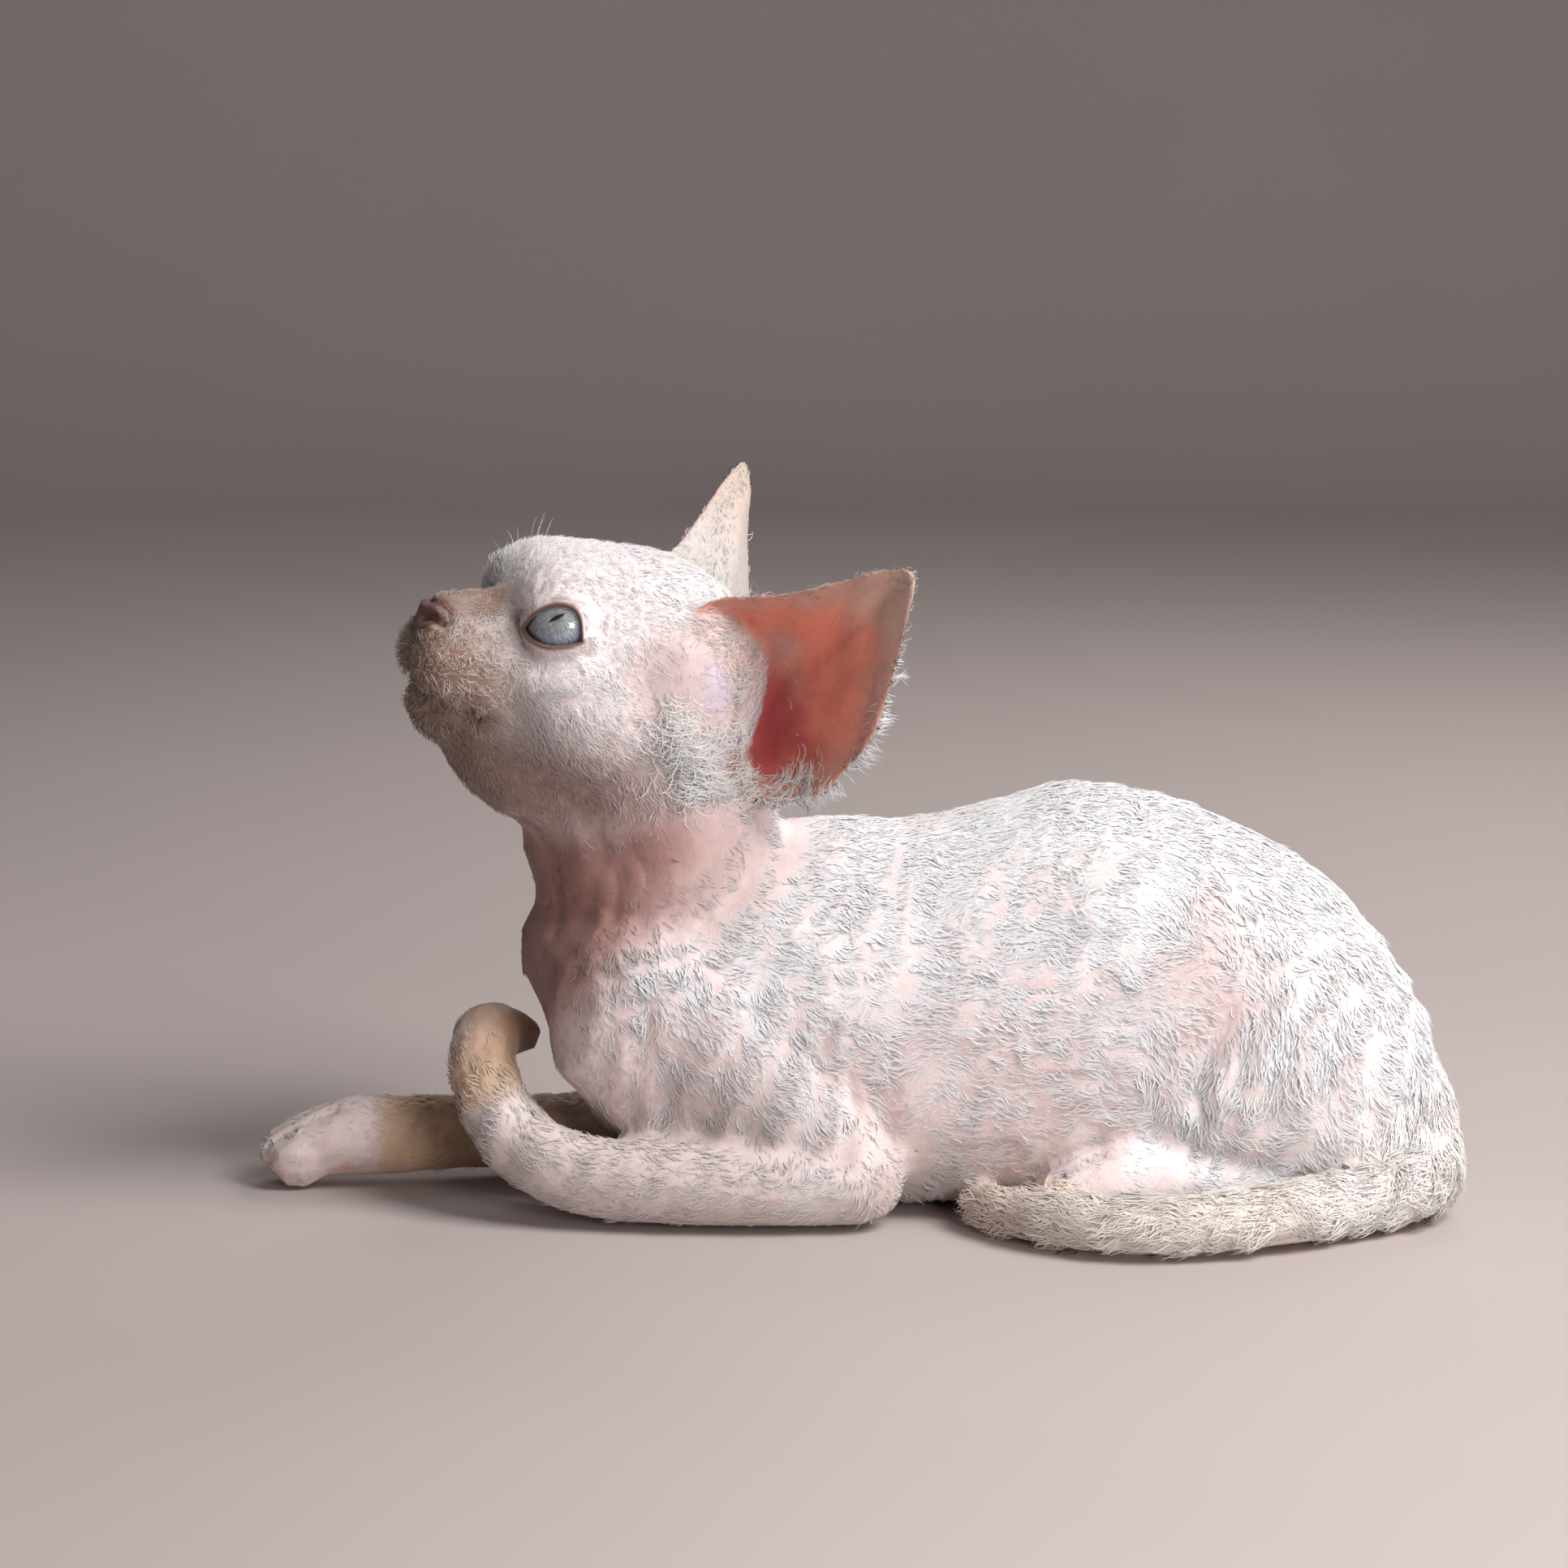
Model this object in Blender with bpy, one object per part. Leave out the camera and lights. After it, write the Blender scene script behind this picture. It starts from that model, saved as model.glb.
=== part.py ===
"""A devon rex kitten lying with its head raised, as a still life-size model.

The kitten faces -X, its left side faces -Y and the floor is Z = 0. Lengths below are in millimetres
and angles in degrees; meshes are made in metres. The flesh is blocked out from round masses, fused into
one body by a voxel remesh, smoothed and worked over with brushes, and then parted into named pieces.
"""

import math

import bpy
import numpy as np
from mathutils import Matrix, Vector

MM = 0.001

# Meshing
BODY_VOXEL = 1.0
BODY_SMOOTHING = 14
HEAD_SMOOTHING = 4
BODY_TRIANGLES = 7400
DETAIL_PULL = 0.0001
ROOT_MARGIN = 3.6
FREE_MARGIN = 2.8
SLEEVE_VOXEL = 2.0
SLEEVE_TRIANGLES = 240
GAP = 0.3
CREASE_ALLOWANCE = 1.4

# Head: where its middle is, and how it is turned. The head's own axes run forward, left and up.
HEAD_MIDDLE = (-63.0, -6.0, 139.0)
HEAD_YAW = 25.0
HEAD_PITCH = 15.5
HEAD_ROLL = 10.0

# Eyes, in the head's axes
EYE_RADIUS = 9.3
EYE_MIDDLE = (18.6, 14.9, 6.4)
EYE_AXIS = (0.64, 0.76, 0.05)
LID_THICKNESS = 1.4
INNER_CORNER = (7.4, -3.2)
OUTER_CORNER = (-7.0, -1.0)
UPPER_LID_RISE = 7.4
LOWER_LID_DROP = 2.7

# Ears, in the head's axes: the rim from the notch below, up the front, over the tip and down the rear
EAR_RIM = [
    (-27, 31, -12.4), (-18.4, 30, 1.2), (-11.8, 26.5, 13), (-10.5, 22.5, 19), (-15, 25.5, 24),
    (-21.5, 33, 28), (-28, 43, 34.5), (-34, 53, 42.5), (-39.3, 60.8, 47.6), (-41.6, 62.6, 46.4),
    (-42.8, 62.8, 40.4), (-45, 61.5, 29.2), (-47.4, 58, 15.6), (-49.4, 51.5, 1), (-48, 44.5, -10.5),
    (-43.6, 37.5, -18.5), (-36.8, 33, -20.3), (-30.7, 31, -17.2),
]
EAR_WELL = (-33.0, 17.0, -6.0)
EAR_BACK = (-0.66, -0.70, 0.28)
EAR_BULGE = 3.0
EAR_THICKNESS = (2.2, 1.2)
RIGHT_EAR_SHIFT = (-9.5, 1.5, -6.0)
RIGHT_EAR_TURN = 14.0

# Skin colours
WHITE_COAT = (0.86, 0.80, 0.77)
CREAM_COAT = (0.74, 0.62, 0.50)
FACE_COAT = (0.55, 0.43, 0.36)
EAR_PINK = (0.78, 0.42, 0.34)
EYE_BLUE = (0.28, 0.35, 0.44)


def clear_scene():
    """Removes every object that the scene starts with."""
    for obj in list(bpy.data.objects):
        bpy.data.objects.remove(obj, do_unlink=True)


def coat_material(name, colour, roughness=0.9):
    """A plain surface in the colour of that part of the coat."""
    material = bpy.data.materials.new(name)
    material.use_nodes = True
    shader = material.node_tree.nodes["Principled BSDF"]
    shader.inputs["Base Color"].default_value = (*colour, 1.0)
    shader.inputs["Roughness"].default_value = roughness
    shader.inputs["Metallic"].default_value = 0.0
    return material


def mesh_object(name, points, faces):
    """A new object from points in millimetres and lists of corner numbers."""
    mesh = bpy.data.meshes.new(name)
    mesh.from_pydata((np.asarray(points, float) * MM).tolist(), [], [list(f) for f in faces])
    mesh.update()
    obj = bpy.data.objects.new(name, mesh)
    bpy.context.scene.collection.objects.link(obj)
    return obj


def head_axes():
    """The head's forward, left and up directions as the rows of a matrix."""
    yaw, pitch, roll = (math.radians(a) for a in (HEAD_YAW, HEAD_PITCH, HEAD_ROLL))
    forward, left, up = np.array([-1.0, 0, 0]), np.array([0, -1.0, 0]), np.array([0, 0, 1.0])
    turned = forward * math.cos(yaw) + left * math.sin(yaw)
    left = left * math.cos(yaw) - forward * math.sin(yaw)
    lifted = turned * math.cos(pitch) + up * math.sin(pitch)
    up = up * math.cos(pitch) - turned * math.sin(pitch)
    tipped_left = left * math.cos(roll) - up * math.sin(roll)
    tipped_up = up * math.cos(roll) + left * math.sin(roll)
    return np.stack([lifted, tipped_left, tipped_up])


HEAD = head_axes()


def on_head(points):
    """Points in the head's axes, put where the head is."""
    return np.asarray(points, float) @ HEAD + HEAD_MIDDLE


def mirrored(point):
    """The same place on the head's right side."""
    return (point[0], -point[1], point[2])


def smooth_rows(rows, steps):
    """A Catmull-Rom curve through rows of numbers, with the given steps between neighbours."""
    rows = np.asarray(rows, float)
    padded = np.vstack([2 * rows[0] - rows[1], rows, 2 * rows[-1] - rows[-2]])
    out = []
    for a, b, c, d in zip(padded, padded[1:], padded[2:], padded[3:]):
        for t in np.arange(steps) / steps:
            bend, twist = 2 * a - 5 * b + 4 * c - d, 3 * b - a - 3 * c + d
            out.append(0.5 * (2 * b + (c - a) * t + bend * t**2 + twist * t**3))
    out.append(rows[-1])
    return np.array(out)


def closed_tube(name, rings):
    """A closed tube through rings of equal length, with a fan at each end."""
    rings = np.asarray(rings, float)
    count, sides = rings.shape[:2]
    points = list(rings.reshape(-1, 3)) + [rings[0].mean(0), rings[-1].mean(0)]
    faces = []
    for i in range(count - 1):
        for j in range(sides):
            k = (j + 1) % sides
            faces.append((i * sides + j, i * sides + k, (i + 1) * sides + k, (i + 1) * sides + j))
    for j in range(sides):
        k = (j + 1) % sides
        faces.append((count * sides, k, j))
        faces.append((count * sides + 1, (count - 1) * sides + j, (count - 1) * sides + k))
    obj = mesh_object(name, points, faces)
    face_out(obj)
    return obj


def face_out(obj):
    """Turns the faces outwards if the enclosed volume comes out negative."""
    mesh = obj.data
    mesh.calc_loop_triangles()
    co = mesh_points(obj)
    tri = np.array([t.vertices[:] for t in mesh.loop_triangles])
    if np.einsum("ij,ij->i", co[tri[:, 0]], np.cross(co[tri[:, 1]], co[tri[:, 2]])).sum() < 0:
        mesh.flip_normals()


def mesh_points(obj):
    """The object's points, in millimetres."""
    co = np.empty(len(obj.data.vertices) * 3)
    obj.data.vertices.foreach_get("co", co)
    return co.reshape(-1, 3) / MM


def set_mesh_points(obj, points):
    """Moves the object's points, given in millimetres."""
    obj.data.vertices.foreach_set("co", (np.asarray(points) * MM).ravel())
    obj.data.update()


def limb(name, rows, side=(0.0, 1.0, 0.0), sides=20, steps=5, margin=0.0):
    """A tube along a bent limb. A row holds the middle's x, y, z, the half width along the side
    direction and the half depth across it. Both ends close in a dome."""
    line = smooth_rows(rows, steps)
    middles, radii = line[:, :3], line[:, 3:5] + margin
    tangents = np.gradient(middles, axis=0)
    tangents /= np.linalg.norm(tangents, axis=1)[:, None]
    around = np.linspace(0, 2 * math.pi, sides, endpoint=False)
    domes = 5
    rings = []

    def ring(middle, tangent, radius):
        across = np.array(side) - tangent * np.dot(side, tangent)
        across /= np.linalg.norm(across)
        depth = np.cross(tangent, across)
        return (
            middle
            + np.outer(np.cos(around), across) * radius[0]
            + np.outer(np.sin(around), depth) * radius[1]
        )

    for step in range(domes, 0, -1):
        angle = 0.5 * math.pi * step / (domes + 0.3)
        back = tangents[0] * radii[0].mean() * math.sin(angle)
        rings.append(ring(middles[0] - back, tangents[0], radii[0] * math.cos(angle)))
    for middle, tangent, radius in zip(middles, tangents, radii):
        rings.append(ring(middle, tangent, radius))
    for step in range(1, domes + 1):
        angle = 0.5 * math.pi * step / (domes + 0.3)
        ahead = tangents[-1] * radii[-1].mean() * math.sin(angle)
        rings.append(ring(middles[-1] + ahead, tangents[-1], radii[-1] * math.cos(angle)))
    return closed_tube(name, rings)


def trunk(name, rows, sides=40, steps=4):
    """The barrel of the body, as upright sections. A row holds x, the top, the bottom, the half width
    and the height of the widest place. The back is a narrow arch and the belly a flatter one."""
    back_power, belly_power = 2.0, 2.7
    rings = []
    for x, top, bottom, half, widest in smooth_rows(rows, steps):
        angle = np.linspace(0, 2 * math.pi, sides, endpoint=False)
        power = np.where(np.sin(angle) >= 0, back_power, belly_power)
        y = half * np.sign(np.cos(angle)) * np.abs(np.cos(angle)) ** (2 / power)
        rise = np.sign(np.sin(angle)) * np.abs(np.sin(angle)) ** (2 / power)
        z = widest + np.where(rise >= 0, rise * (top - widest), rise * (widest - bottom))
        rings.append(np.column_stack([np.full(sides, x), y, z]))
    return closed_tube(name, rings)


def ball(name, middle, radii, turn=None, segments=24):
    """An egg-shaped mass. turn is a matrix whose rows are its own axes."""
    rings = segments // 2
    points = [(0, 0, 1.0)]
    for i in range(1, rings):
        high = math.pi * i / rings
        for j in range(segments):
            about = 2 * math.pi * j / segments
            level = math.sin(high)
            points.append((level * math.cos(about), level * math.sin(about), math.cos(high)))
    points.append((0, 0, -1.0))
    faces = []
    last = len(points) - 1
    for j in range(segments):
        k = (j + 1) % segments
        faces.append((0, 1 + j, 1 + k))
        faces.append((last, last - segments + k, last - segments + j))
        for i in range(rings - 2):
            row = 1 + i * segments
            faces.append((row + j, row + segments + j, row + segments + k, row + k))
    placed = np.array(points) * radii
    if turn is not None:
        placed = placed @ turn
    obj = mesh_object(name, placed + middle, faces)
    face_out(obj)
    return obj


def use_modifier(obj, kind, **settings):
    """Adds a modifier with its settings and applies it."""
    modifier = obj.modifiers.new(kind.title(), kind)
    for key, value in settings.items():
        setattr(modifier, key, value)
    bpy.context.view_layer.objects.active = obj
    bpy.ops.object.modifier_apply(modifier=modifier.name)


def join_all(name, pieces):
    """One object that holds all the pieces' meshes."""
    bpy.ops.object.select_all(action="DESELECT")
    for piece in pieces:
        piece.select_set(True)
    bpy.context.view_layer.objects.active = pieces[0]
    if len(pieces) > 1:
        bpy.ops.object.join()
    joined = bpy.context.view_layer.objects.active
    joined.name = name
    return joined


# The trunk, as rows of x, top, bottom, half width, height of the widest place
TRUNK_ROWS = [
    (-85, 69, 58, 6, 63),
    (-82, 74, 51, 14, 61),
    (-76, 80, 40, 22, 57),
    (-66, 86, 21, 29, 49),
    (-50, 91, 9, 33, 43),
    (-30, 95, 4, 35, 41),
    (-10, 97, 0, 36, 40),
    (10, 96.5, -0.6, 36, 39),
    (30, 100.5, -0.8, 37, 39),
    (50, 105.5, -0.8, 38, 40),
    (72, 103, -0.8, 38.5, 41),
    (92, 95.5, -0.8, 38, 40),
    (112, 84.5, -0.8, 35.5, 37),
    (127, 69.5, -0.5, 29, 31),
    (137.5, 53.5, 3, 22, 26),
    (144, 38, 9, 14, 22),
    (147, 29, 14, 6, 21),
]

# Limbs of the left side, as rows of x, y, z, half width, half depth
SHOULDER = ((-55, -19, 50), (24, 16.5, 28))
UPPER_ARM_ROWS = [
    (-48, -22, 54, 13.5, 22),
    (-28, -26, 38, 12.5, 20),
    (-10, -30, 22, 12, 15),
    (-2, -32, 13.5, 11.5, 13),
]
LEFT_FOREARM_ROWS = [
    (-1, -33.5, 12.2, 12, 12.6),
    (-22, -35, 11.4, 11.5, 11.8),
    (-46, -34, 11.4, 11, 11.6),
    (-68, -30.5, 12.6, 10.6, 11.4),
    (-83, -25, 19, 10.2, 10.8),
    (-91, -18, 29.5, 10, 10.2),
    (-94, -10, 38.5, 9.4, 9.6),
]
LEFT_FOREPAW_ROWS = [
    (-93.5, -10, 38.5, 9.8, 9.6),
    (-93, -1, 41.5, 9.8, 8.6),
    (-90, 8, 39.5, 9.6, 7.4),
]
RIGHT_FOREARM_ROWS = [
    (-1, 33.5, 12.2, 12, 12.6),
    (-24, 32, 11.4, 11.3, 11.8),
    (-50, 27, 11.2, 10.6, 11.3),
    (-78, 20, 11.4, 10, 10.8),
    (-100, 15, 12.2, 9.8, 10.6),
]
RIGHT_FOREPAW_ROWS = [
    (-100, 15, 12.2, 10, 10.6),
    (-113, 13, 12.4, 10.8, 11),
    (-128, 11.5, 12.2, 11.4, 10.8),
    (-137, 11, 10.6, 11, 9.4),
]
THIGH_ROWS = [
    (117, -17, 54, 13, 20),
    (108, -22, 50, 14.5, 25),
    (97, -26.5, 42, 13.5, 22),
    (88, -30, 33.5, 10.5, 14.5),
    (84, -31.5, 29.5, 8.5, 10.5),
]
SHANK_ROWS = [
    (86, -31, 28, 8.5, 11),
    (102, -27, 21, 8, 9.5),
    (116, -20, 12, 7.4, 8.2),
]
HIND_FOOT_ROWS = [
    (117, -19.5, 10, 7.6, 8.6),
    (101, -24.5, 9.2, 8.6, 9.2),
    (84, -28.5, 10.6, 10, 10.6),
    (67, -31.5, 12, 11.3, 12),
    (56, -33.2, 10.2, 11.2, 10.2),
]
TAIL_ROWS = [
    (124, 0, 34, 11, 11),
    (135, -3, 25, 10.6, 10.6),
    (139.5, -14, 15, 10, 10),
    (136, -29, 9.8, 9.6, 9.6),
    (119, -41.5, 8.9, 9.2, 9.2),
    (98, -54.5, 8.5, 8.8, 8.8),
    (74, -62, 8.2, 8.5, 8.5),
    (54, -58, 7.7, 8, 8),
    (39, -47, 6.9, 7.2, 7.2),
    (30, -36.5, 6.2, 6.2, 6.2),
    (27.5, -31, 5.8, 4.6, 4.6),
]
NECK_ROWS = [
    (-41, -1, 62, 26, 31),
    (-48.5, -2.5, 80, 24.5, 33),
    (-53, -4, 98, 24, 32.5),
    (-55, -5, 114, 24.5, 28),
]
NECK_SIDE = (0.15, 1.0, 0.0)


def opposite(rows):
    """The same limb on the kitten's right side."""
    return [(x, -y, z, half, deep) for x, y, z, half, deep in rows]


def toe_fan(name, middle, along, across, up, spread, toe, reach, margin=0.0):
    """Four toes side by side. The two middle ones stand further forward."""
    along, across, up = (np.array(v, float) / np.linalg.norm(v) for v in (along, across, up))
    axes = np.stack([along, across, up])
    made = []
    for number, place in enumerate((-1.5, -0.5, 0.5, 1.5)):
        ahead = reach if abs(place) < 1 else 0.0
        spot = np.array(middle) + across * place * spread + along * ahead - up * 0.5 * abs(place)
        made.append(ball(f"{name}_toe_{number}", spot, np.array(toe) + margin, axes))
    return made


def flesh_of(limb_name, root=0.0, free=0.0):
    """The masses of one limb. The margins widen those at its root and those that stand free, for the
    sleeve that parts the limb from the body."""
    side = "right" if limb_name.endswith("right") else "left"
    turn = opposite if side == "right" else list
    sign = -1 if side == "right" else 1
    if limb_name == "tail":
        return [limb("tail", TAIL_ROWS, side=(0.0, 0.0, 1.0), margin=free)]
    if limb_name.startswith("hindleg"):
        made = [limb("thigh", turn(THIGH_ROWS), sides=24, margin=root)]
        made.append(limb("shank", turn(SHANK_ROWS), margin=free))
        made.append(limb("foot", turn(HIND_FOOT_ROWS), margin=free))
        return made + toe_fan(
            "hind", (52, sign * -33.6, 8.6), (-1, sign * -0.12, 0), (0, 1, 0), (0, 0, 1),
            5.0, (8, 4.1, 7.4), 3.2, free,
        )
    middle, radii = SHOULDER
    made = [ball("shoulder", (middle[0], sign * middle[1], middle[2]), np.array(radii) + root)]
    made.append(limb("upper_arm", turn(UPPER_ARM_ROWS), margin=root))
    if side == "left":
        made.append(limb("forearm", LEFT_FOREARM_ROWS, margin=free))
        made.append(limb("forepaw", LEFT_FOREPAW_ROWS, side=(1.0, 0.0, 0.3), margin=free))
        return made + toe_fan(
            "fore", (-89, 11, 37), (0.35, 1, -0.35), (1, -0.3, 0.4), (0, 0.35, 1),
            4.6, (6.5, 3.8, 5.2), 2.2, free,
        )
    made.append(limb("forearm", RIGHT_FOREARM_ROWS, margin=free))
    made.append(limb("forepaw", RIGHT_FOREPAW_ROWS, margin=free))
    return made + toe_fan(
        "fore", (-140.5, 10.8, 9.2), (-1, -0.08, -0.08), (0, 1, 0.22), (-0.05, -0.22, 1),
        5.1, (8.2, 4.2, 7.6), 3.4, free,
    )


LIMBS = ("tail", "foreleg_left", "foreleg_right", "hindleg_left", "hindleg_right")


def block_out_body():
    """The masses of trunk, neck, limbs and tail, before they are fused."""
    pieces = [trunk("trunk_core", TRUNK_ROWS), limb("neck_core", NECK_ROWS, NECK_SIDE, sides=28)]
    for limb_name in LIMBS:
        pieces += flesh_of(limb_name)
    return pieces


# The masses of the skull and face: middle, radii and tip up, in the head's axes. The last ones come in pairs.
SKULL = [
    ((-7, 0, 2), (32, 26, 24), 0),
    ((13, 0, 9), (16, 16.5, 14.2), 0),
    ((12, 0, -22), (27, 16.5, 14), 6),
    ((32, 0, -9), (14.5, 11, 12), 0),
    ((35, 0, 0.6), (13, 6, 6), -12),
    ((45.2, 0, -2.2), (4.2, 4.8, 4.6), 0),
    ((36.5, 0, -24), (8.2, 7.6, 6.8), 12),
    ((5, 0, -34), (28, 18, 15), 14),
]
SKULL_PAIRS = [
    ((18.5, 9.5, 11.5), (9.5, 8.5, 8), 0),
    ((38.6, 6.2, -11.5), (10, 7.8, 9.4), 0),
    ((24, 9, -12), (13, 8.5, 12), 0),
    ((14, 17.5, -5), (14, 9, 9), 0),
    ((2, 18, -14), (19, 12.5, 15), 0),
    ((-17, 20.5, 3), (18, 12, 17), 0),
    ((-20, 22, -8), (16, 11, 14), 0),
]
HEAD_BLEND = 2.2


def head_masses():
    """Every mass of the head as middle, radii and axes, all in the head's own axes."""
    masses = []
    for middle, radii, tip in SKULL + SKULL_PAIRS + [(mirrored(m), r, t) for m, r, t in SKULL_PAIRS]:
        angle = math.radians(tip)
        along = (math.cos(angle), 0, math.sin(angle))
        masses.append((np.array(middle, float), np.array(radii, float), np.array(
            [along, (0, 1, 0), (-along[2], 0, along[0])])))
    for middle in (EYE_MIDDLE, mirrored(EYE_MIDDLE)):
        masses.append((np.array(middle), np.full(3, EYE_RADIUS + LID_THICKNESS - 0.9), np.eye(3)))
    return masses


def head_field(points):
    """How far points lie outside the head: a soft minimum over the distances to its masses."""
    total = np.zeros(len(points))
    for middle, radii, axes in head_masses():
        scaled = (points - middle) @ axes.T / radii
        reach = np.linalg.norm(scaled, axis=1) + 1e-9
        slope = np.linalg.norm(scaled / radii, axis=1) + 1e-9
        distance = reach * (reach - 1) / slope
        total += np.exp(-np.clip(distance, -40, 60) / HEAD_BLEND)
    return -HEAD_BLEND * np.log(total + 1e-30)


def settle_on_field(points, field, steps=5):
    """Moves points along the field's slope until they lie on its zero surface."""
    for _ in range(steps):
        here = field(points)
        slope = np.stack([field(points + d) - here for d in np.eye(3) * 0.05], axis=1) / 0.05
        move = here / np.maximum(np.einsum("ij,ij->i", slope, slope), 0.2)
        points = points - slope * np.clip(move, -1.5, 1.5)[:, None]
    return points


def block_out_head():
    """The head's masses fused into one skin with soft hollows between them."""
    pieces = [ball(f"mass_{i}", on_head(m), r, a @ HEAD) for i, (m, r, a) in enumerate(head_masses())]
    skull = join_all("skull", pieces)
    use_modifier(skull, "REMESH", mode="VOXEL", voxel_size=BODY_VOXEL * MM)
    set_mesh_points(skull, on_head(settle_on_field(head_coordinates(mesh_points(skull)), head_field)))
    return skull


def fuse(name, pieces):
    """One closed skin round all the pieces, with the hollows between them softened."""
    body = join_all(name, pieces)
    use_modifier(body, "REMESH", mode="VOXEL", voxel_size=BODY_VOXEL * MM)
    local = head_coordinates(mesh_points(body))
    away = np.clip(np.linalg.norm((local - (8, 0, 0)) / (46, 34, 34), axis=1) * 4 - 4, 0, 1)
    weigh(body, "body", away)
    use_modifier(body, "SMOOTH", factor=0.5, iterations=HEAD_SMOOTHING)
    use_modifier(body, "SMOOTH", factor=0.5, iterations=BODY_SMOOTHING, vertex_group="body")
    return body


def weigh(obj, name, weights):
    """A vertex group with one weight for each point."""
    group = obj.vertex_groups.new(name=name)
    for index in np.flatnonzero(weights > 0.01):
        group.add([int(index)], float(weights[index]), "REPLACE")


def head_coordinates(points):
    """Points in the head's own axes."""
    return (np.asarray(points) - HEAD_MIDDLE) @ HEAD.T


def eye_axes(sign):
    """The eye's outward, nose-ward and upward directions in the head's axes. sign is -1 on the right."""
    out = np.array(EYE_AXIS, float) * (1, sign, 1)
    out /= np.linalg.norm(out)
    nose = np.cross(out, (0, 0, 1.0)) * sign
    nose /= np.linalg.norm(nose)
    up = np.cross(nose, out) * sign
    return np.stack([out, nose, up])


def lid_edges(along):
    """Heights of the upper and lower lid edge at distances along the eye, corner to corner."""
    half = 0.5 * (INNER_CORNER[0] - OUTER_CORNER[0])
    middle = 0.5 * (INNER_CORNER[0] + OUTER_CORNER[0])
    share = np.clip((along - middle) / half, -1, 1)
    line = OUTER_CORNER[1] + (INNER_CORNER[1] - OUTER_CORNER[1]) * (share + 1) / 2
    skewed = np.clip(share + 0.16 * (1 - share**2), -1, 1)
    upper = line + UPPER_LID_RISE * (1 - np.abs(skewed) ** 2.3) ** 0.8
    lower = line - LOWER_LID_DROP * (1 - share**2) ** 0.75
    return upper, lower


def lay_lids(points):
    """Brings the skin round each eye onto a dome that covers the eyeball by the lids' thickness."""
    for sign in (1, -1):
        axes = eye_axes(sign)
        middle = np.array(EYE_MIDDLE) * (1, sign, 1)
        out, nose, up = ((points - middle) @ axes.T).T
        distance = np.linalg.norm(points - middle, axis=1)
        near = (out > 0) * np.clip((EYE_RADIUS + 8 - distance) / 5, 0, 1)
        scale = (EYE_RADIUS + 0.5) / np.maximum(distance, 1)
        along, height = nose * scale, up * scale
        upper, lower = lid_edges(along)
        half = 0.5 * (INNER_CORNER[0] - OUTER_CORNER[0])
        past = np.abs(along - 0.5 * (INNER_CORNER[0] + OUTER_CORNER[0])) - half
        outside = np.maximum(np.maximum(height - upper, lower - height), past)
        share = np.clip(1 - np.clip(outside - 1.0, 0, None) / 4.0, 0, 1)
        share = share * share * (3 - 2 * share) * near
        reach = distance + (EYE_RADIUS + LID_THICKNESS - distance) * share
        points = middle + (points - middle) * (reach / np.maximum(distance, 1e-6))[:, None]
    return points


def eye_opening(name, sign):
    """The wedge between the lids, which widens outwards from the middle of the eyeball."""
    steps = 14
    turn = np.linspace(0, math.pi, steps)
    centre = 0.5 * (INNER_CORNER[0] + OUTER_CORNER[0])
    along = centre + 0.5 * (INNER_CORNER[0] - OUTER_CORNER[0]) * np.cos(turn)
    upper, lower = lid_edges(along)
    ring = np.concatenate(
        [np.column_stack([along, upper]), np.column_stack([along[1:-1], lower[1:-1]])[::-1]]
    )
    out = np.sqrt(np.maximum((EYE_RADIUS + 0.5) ** 2 - (ring**2).sum(1), 9))
    rays = np.column_stack([out, ring]) @ eye_axes(sign)
    middle = np.array(EYE_MIDDLE) * (1, sign, 1)
    return closed_tube(name, [on_head(middle + rays * grown) for grown in (0.55, 0.8, 1.1, 1.6)])


def distance_to_path(points, path):
    """How far points lie from a bent line."""
    best = np.full(len(points), 1e9)
    for a, b in zip(path, path[1:]):
        share = np.clip(((points - a) @ (b - a)) / np.dot(b - a, b - a), 0, 1)
        best = np.minimum(best, np.linalg.norm(points - a - share[:, None] * (b - a), axis=1))
    return best


def press(points, normals, path, width, depth):
    """A groove of that depth and width along a smoothed path laid on the head. A negative depth makes a
    ridge."""
    laid = settle_on_field(smooth_rows(path, 4), head_field)
    far = distance_to_path(points, laid)
    return points - normals * (depth * np.exp(-((far / width) ** 2)))[:, None]


# Lines pressed into the face, in the head's axes
LEFT_MOUTH = [(50, 0.4, -17), (48, 3, -19.5), (45.4, 7.4, -22), (40.5, 11.4, -23.4), (34.7, 14, -22.6)]
PHILTRUM = [(50, 0, -6.5), (50, 0, -10), (50, 0, -16.5)]
LEFT_NOSTRIL = [(48.6, 2.0, -2.6), (47.4, 3.6, -1.6), (45, 5, -2.2)]
LEFT_NOSE_EDGE = [(48.2, 0, 2.6), (46.2, 3.4, 2.2), (43.6, 5.8, -0.8), (45.6, 5, -5), (49, 1.4, -6.4)]
EAR_HOLLOW = [(-30, 30, 2), (-33, 29, -7)]


def both_sides(path):
    """A path on the head's left side and the same one on the right."""
    return np.array(path, float), np.array([mirrored(p) for p in path], float)


def shape_face(points, normals):
    """Presses the mouth, nostrils, the split of the lip and the hollows of the ears into the head."""
    points = press(points, normals, np.array(PHILTRUM, float), 1.1, 1.1)
    for path in both_sides(LEFT_MOUTH):
        points = press(points, normals, path, 1.3, 2.2)
    for path in both_sides(LEFT_NOSTRIL):
        points = press(points, normals, path, 1.2, 2.4)
    for path in both_sides(LEFT_NOSE_EDGE):
        points = press(points, normals, path, 1.0, 0.7)
    for path in both_sides(EAR_HOLLOW):
        points = press(points, normals, path, 5.5, 6.0)
    return points


def mesh_normals(obj):
    """The direction each point of the object faces."""
    normals = np.empty(len(obj.data.vertices) * 3)
    obj.data.vertices.foreach_get("normal", normals)
    return normals.reshape(-1, 3)


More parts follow.
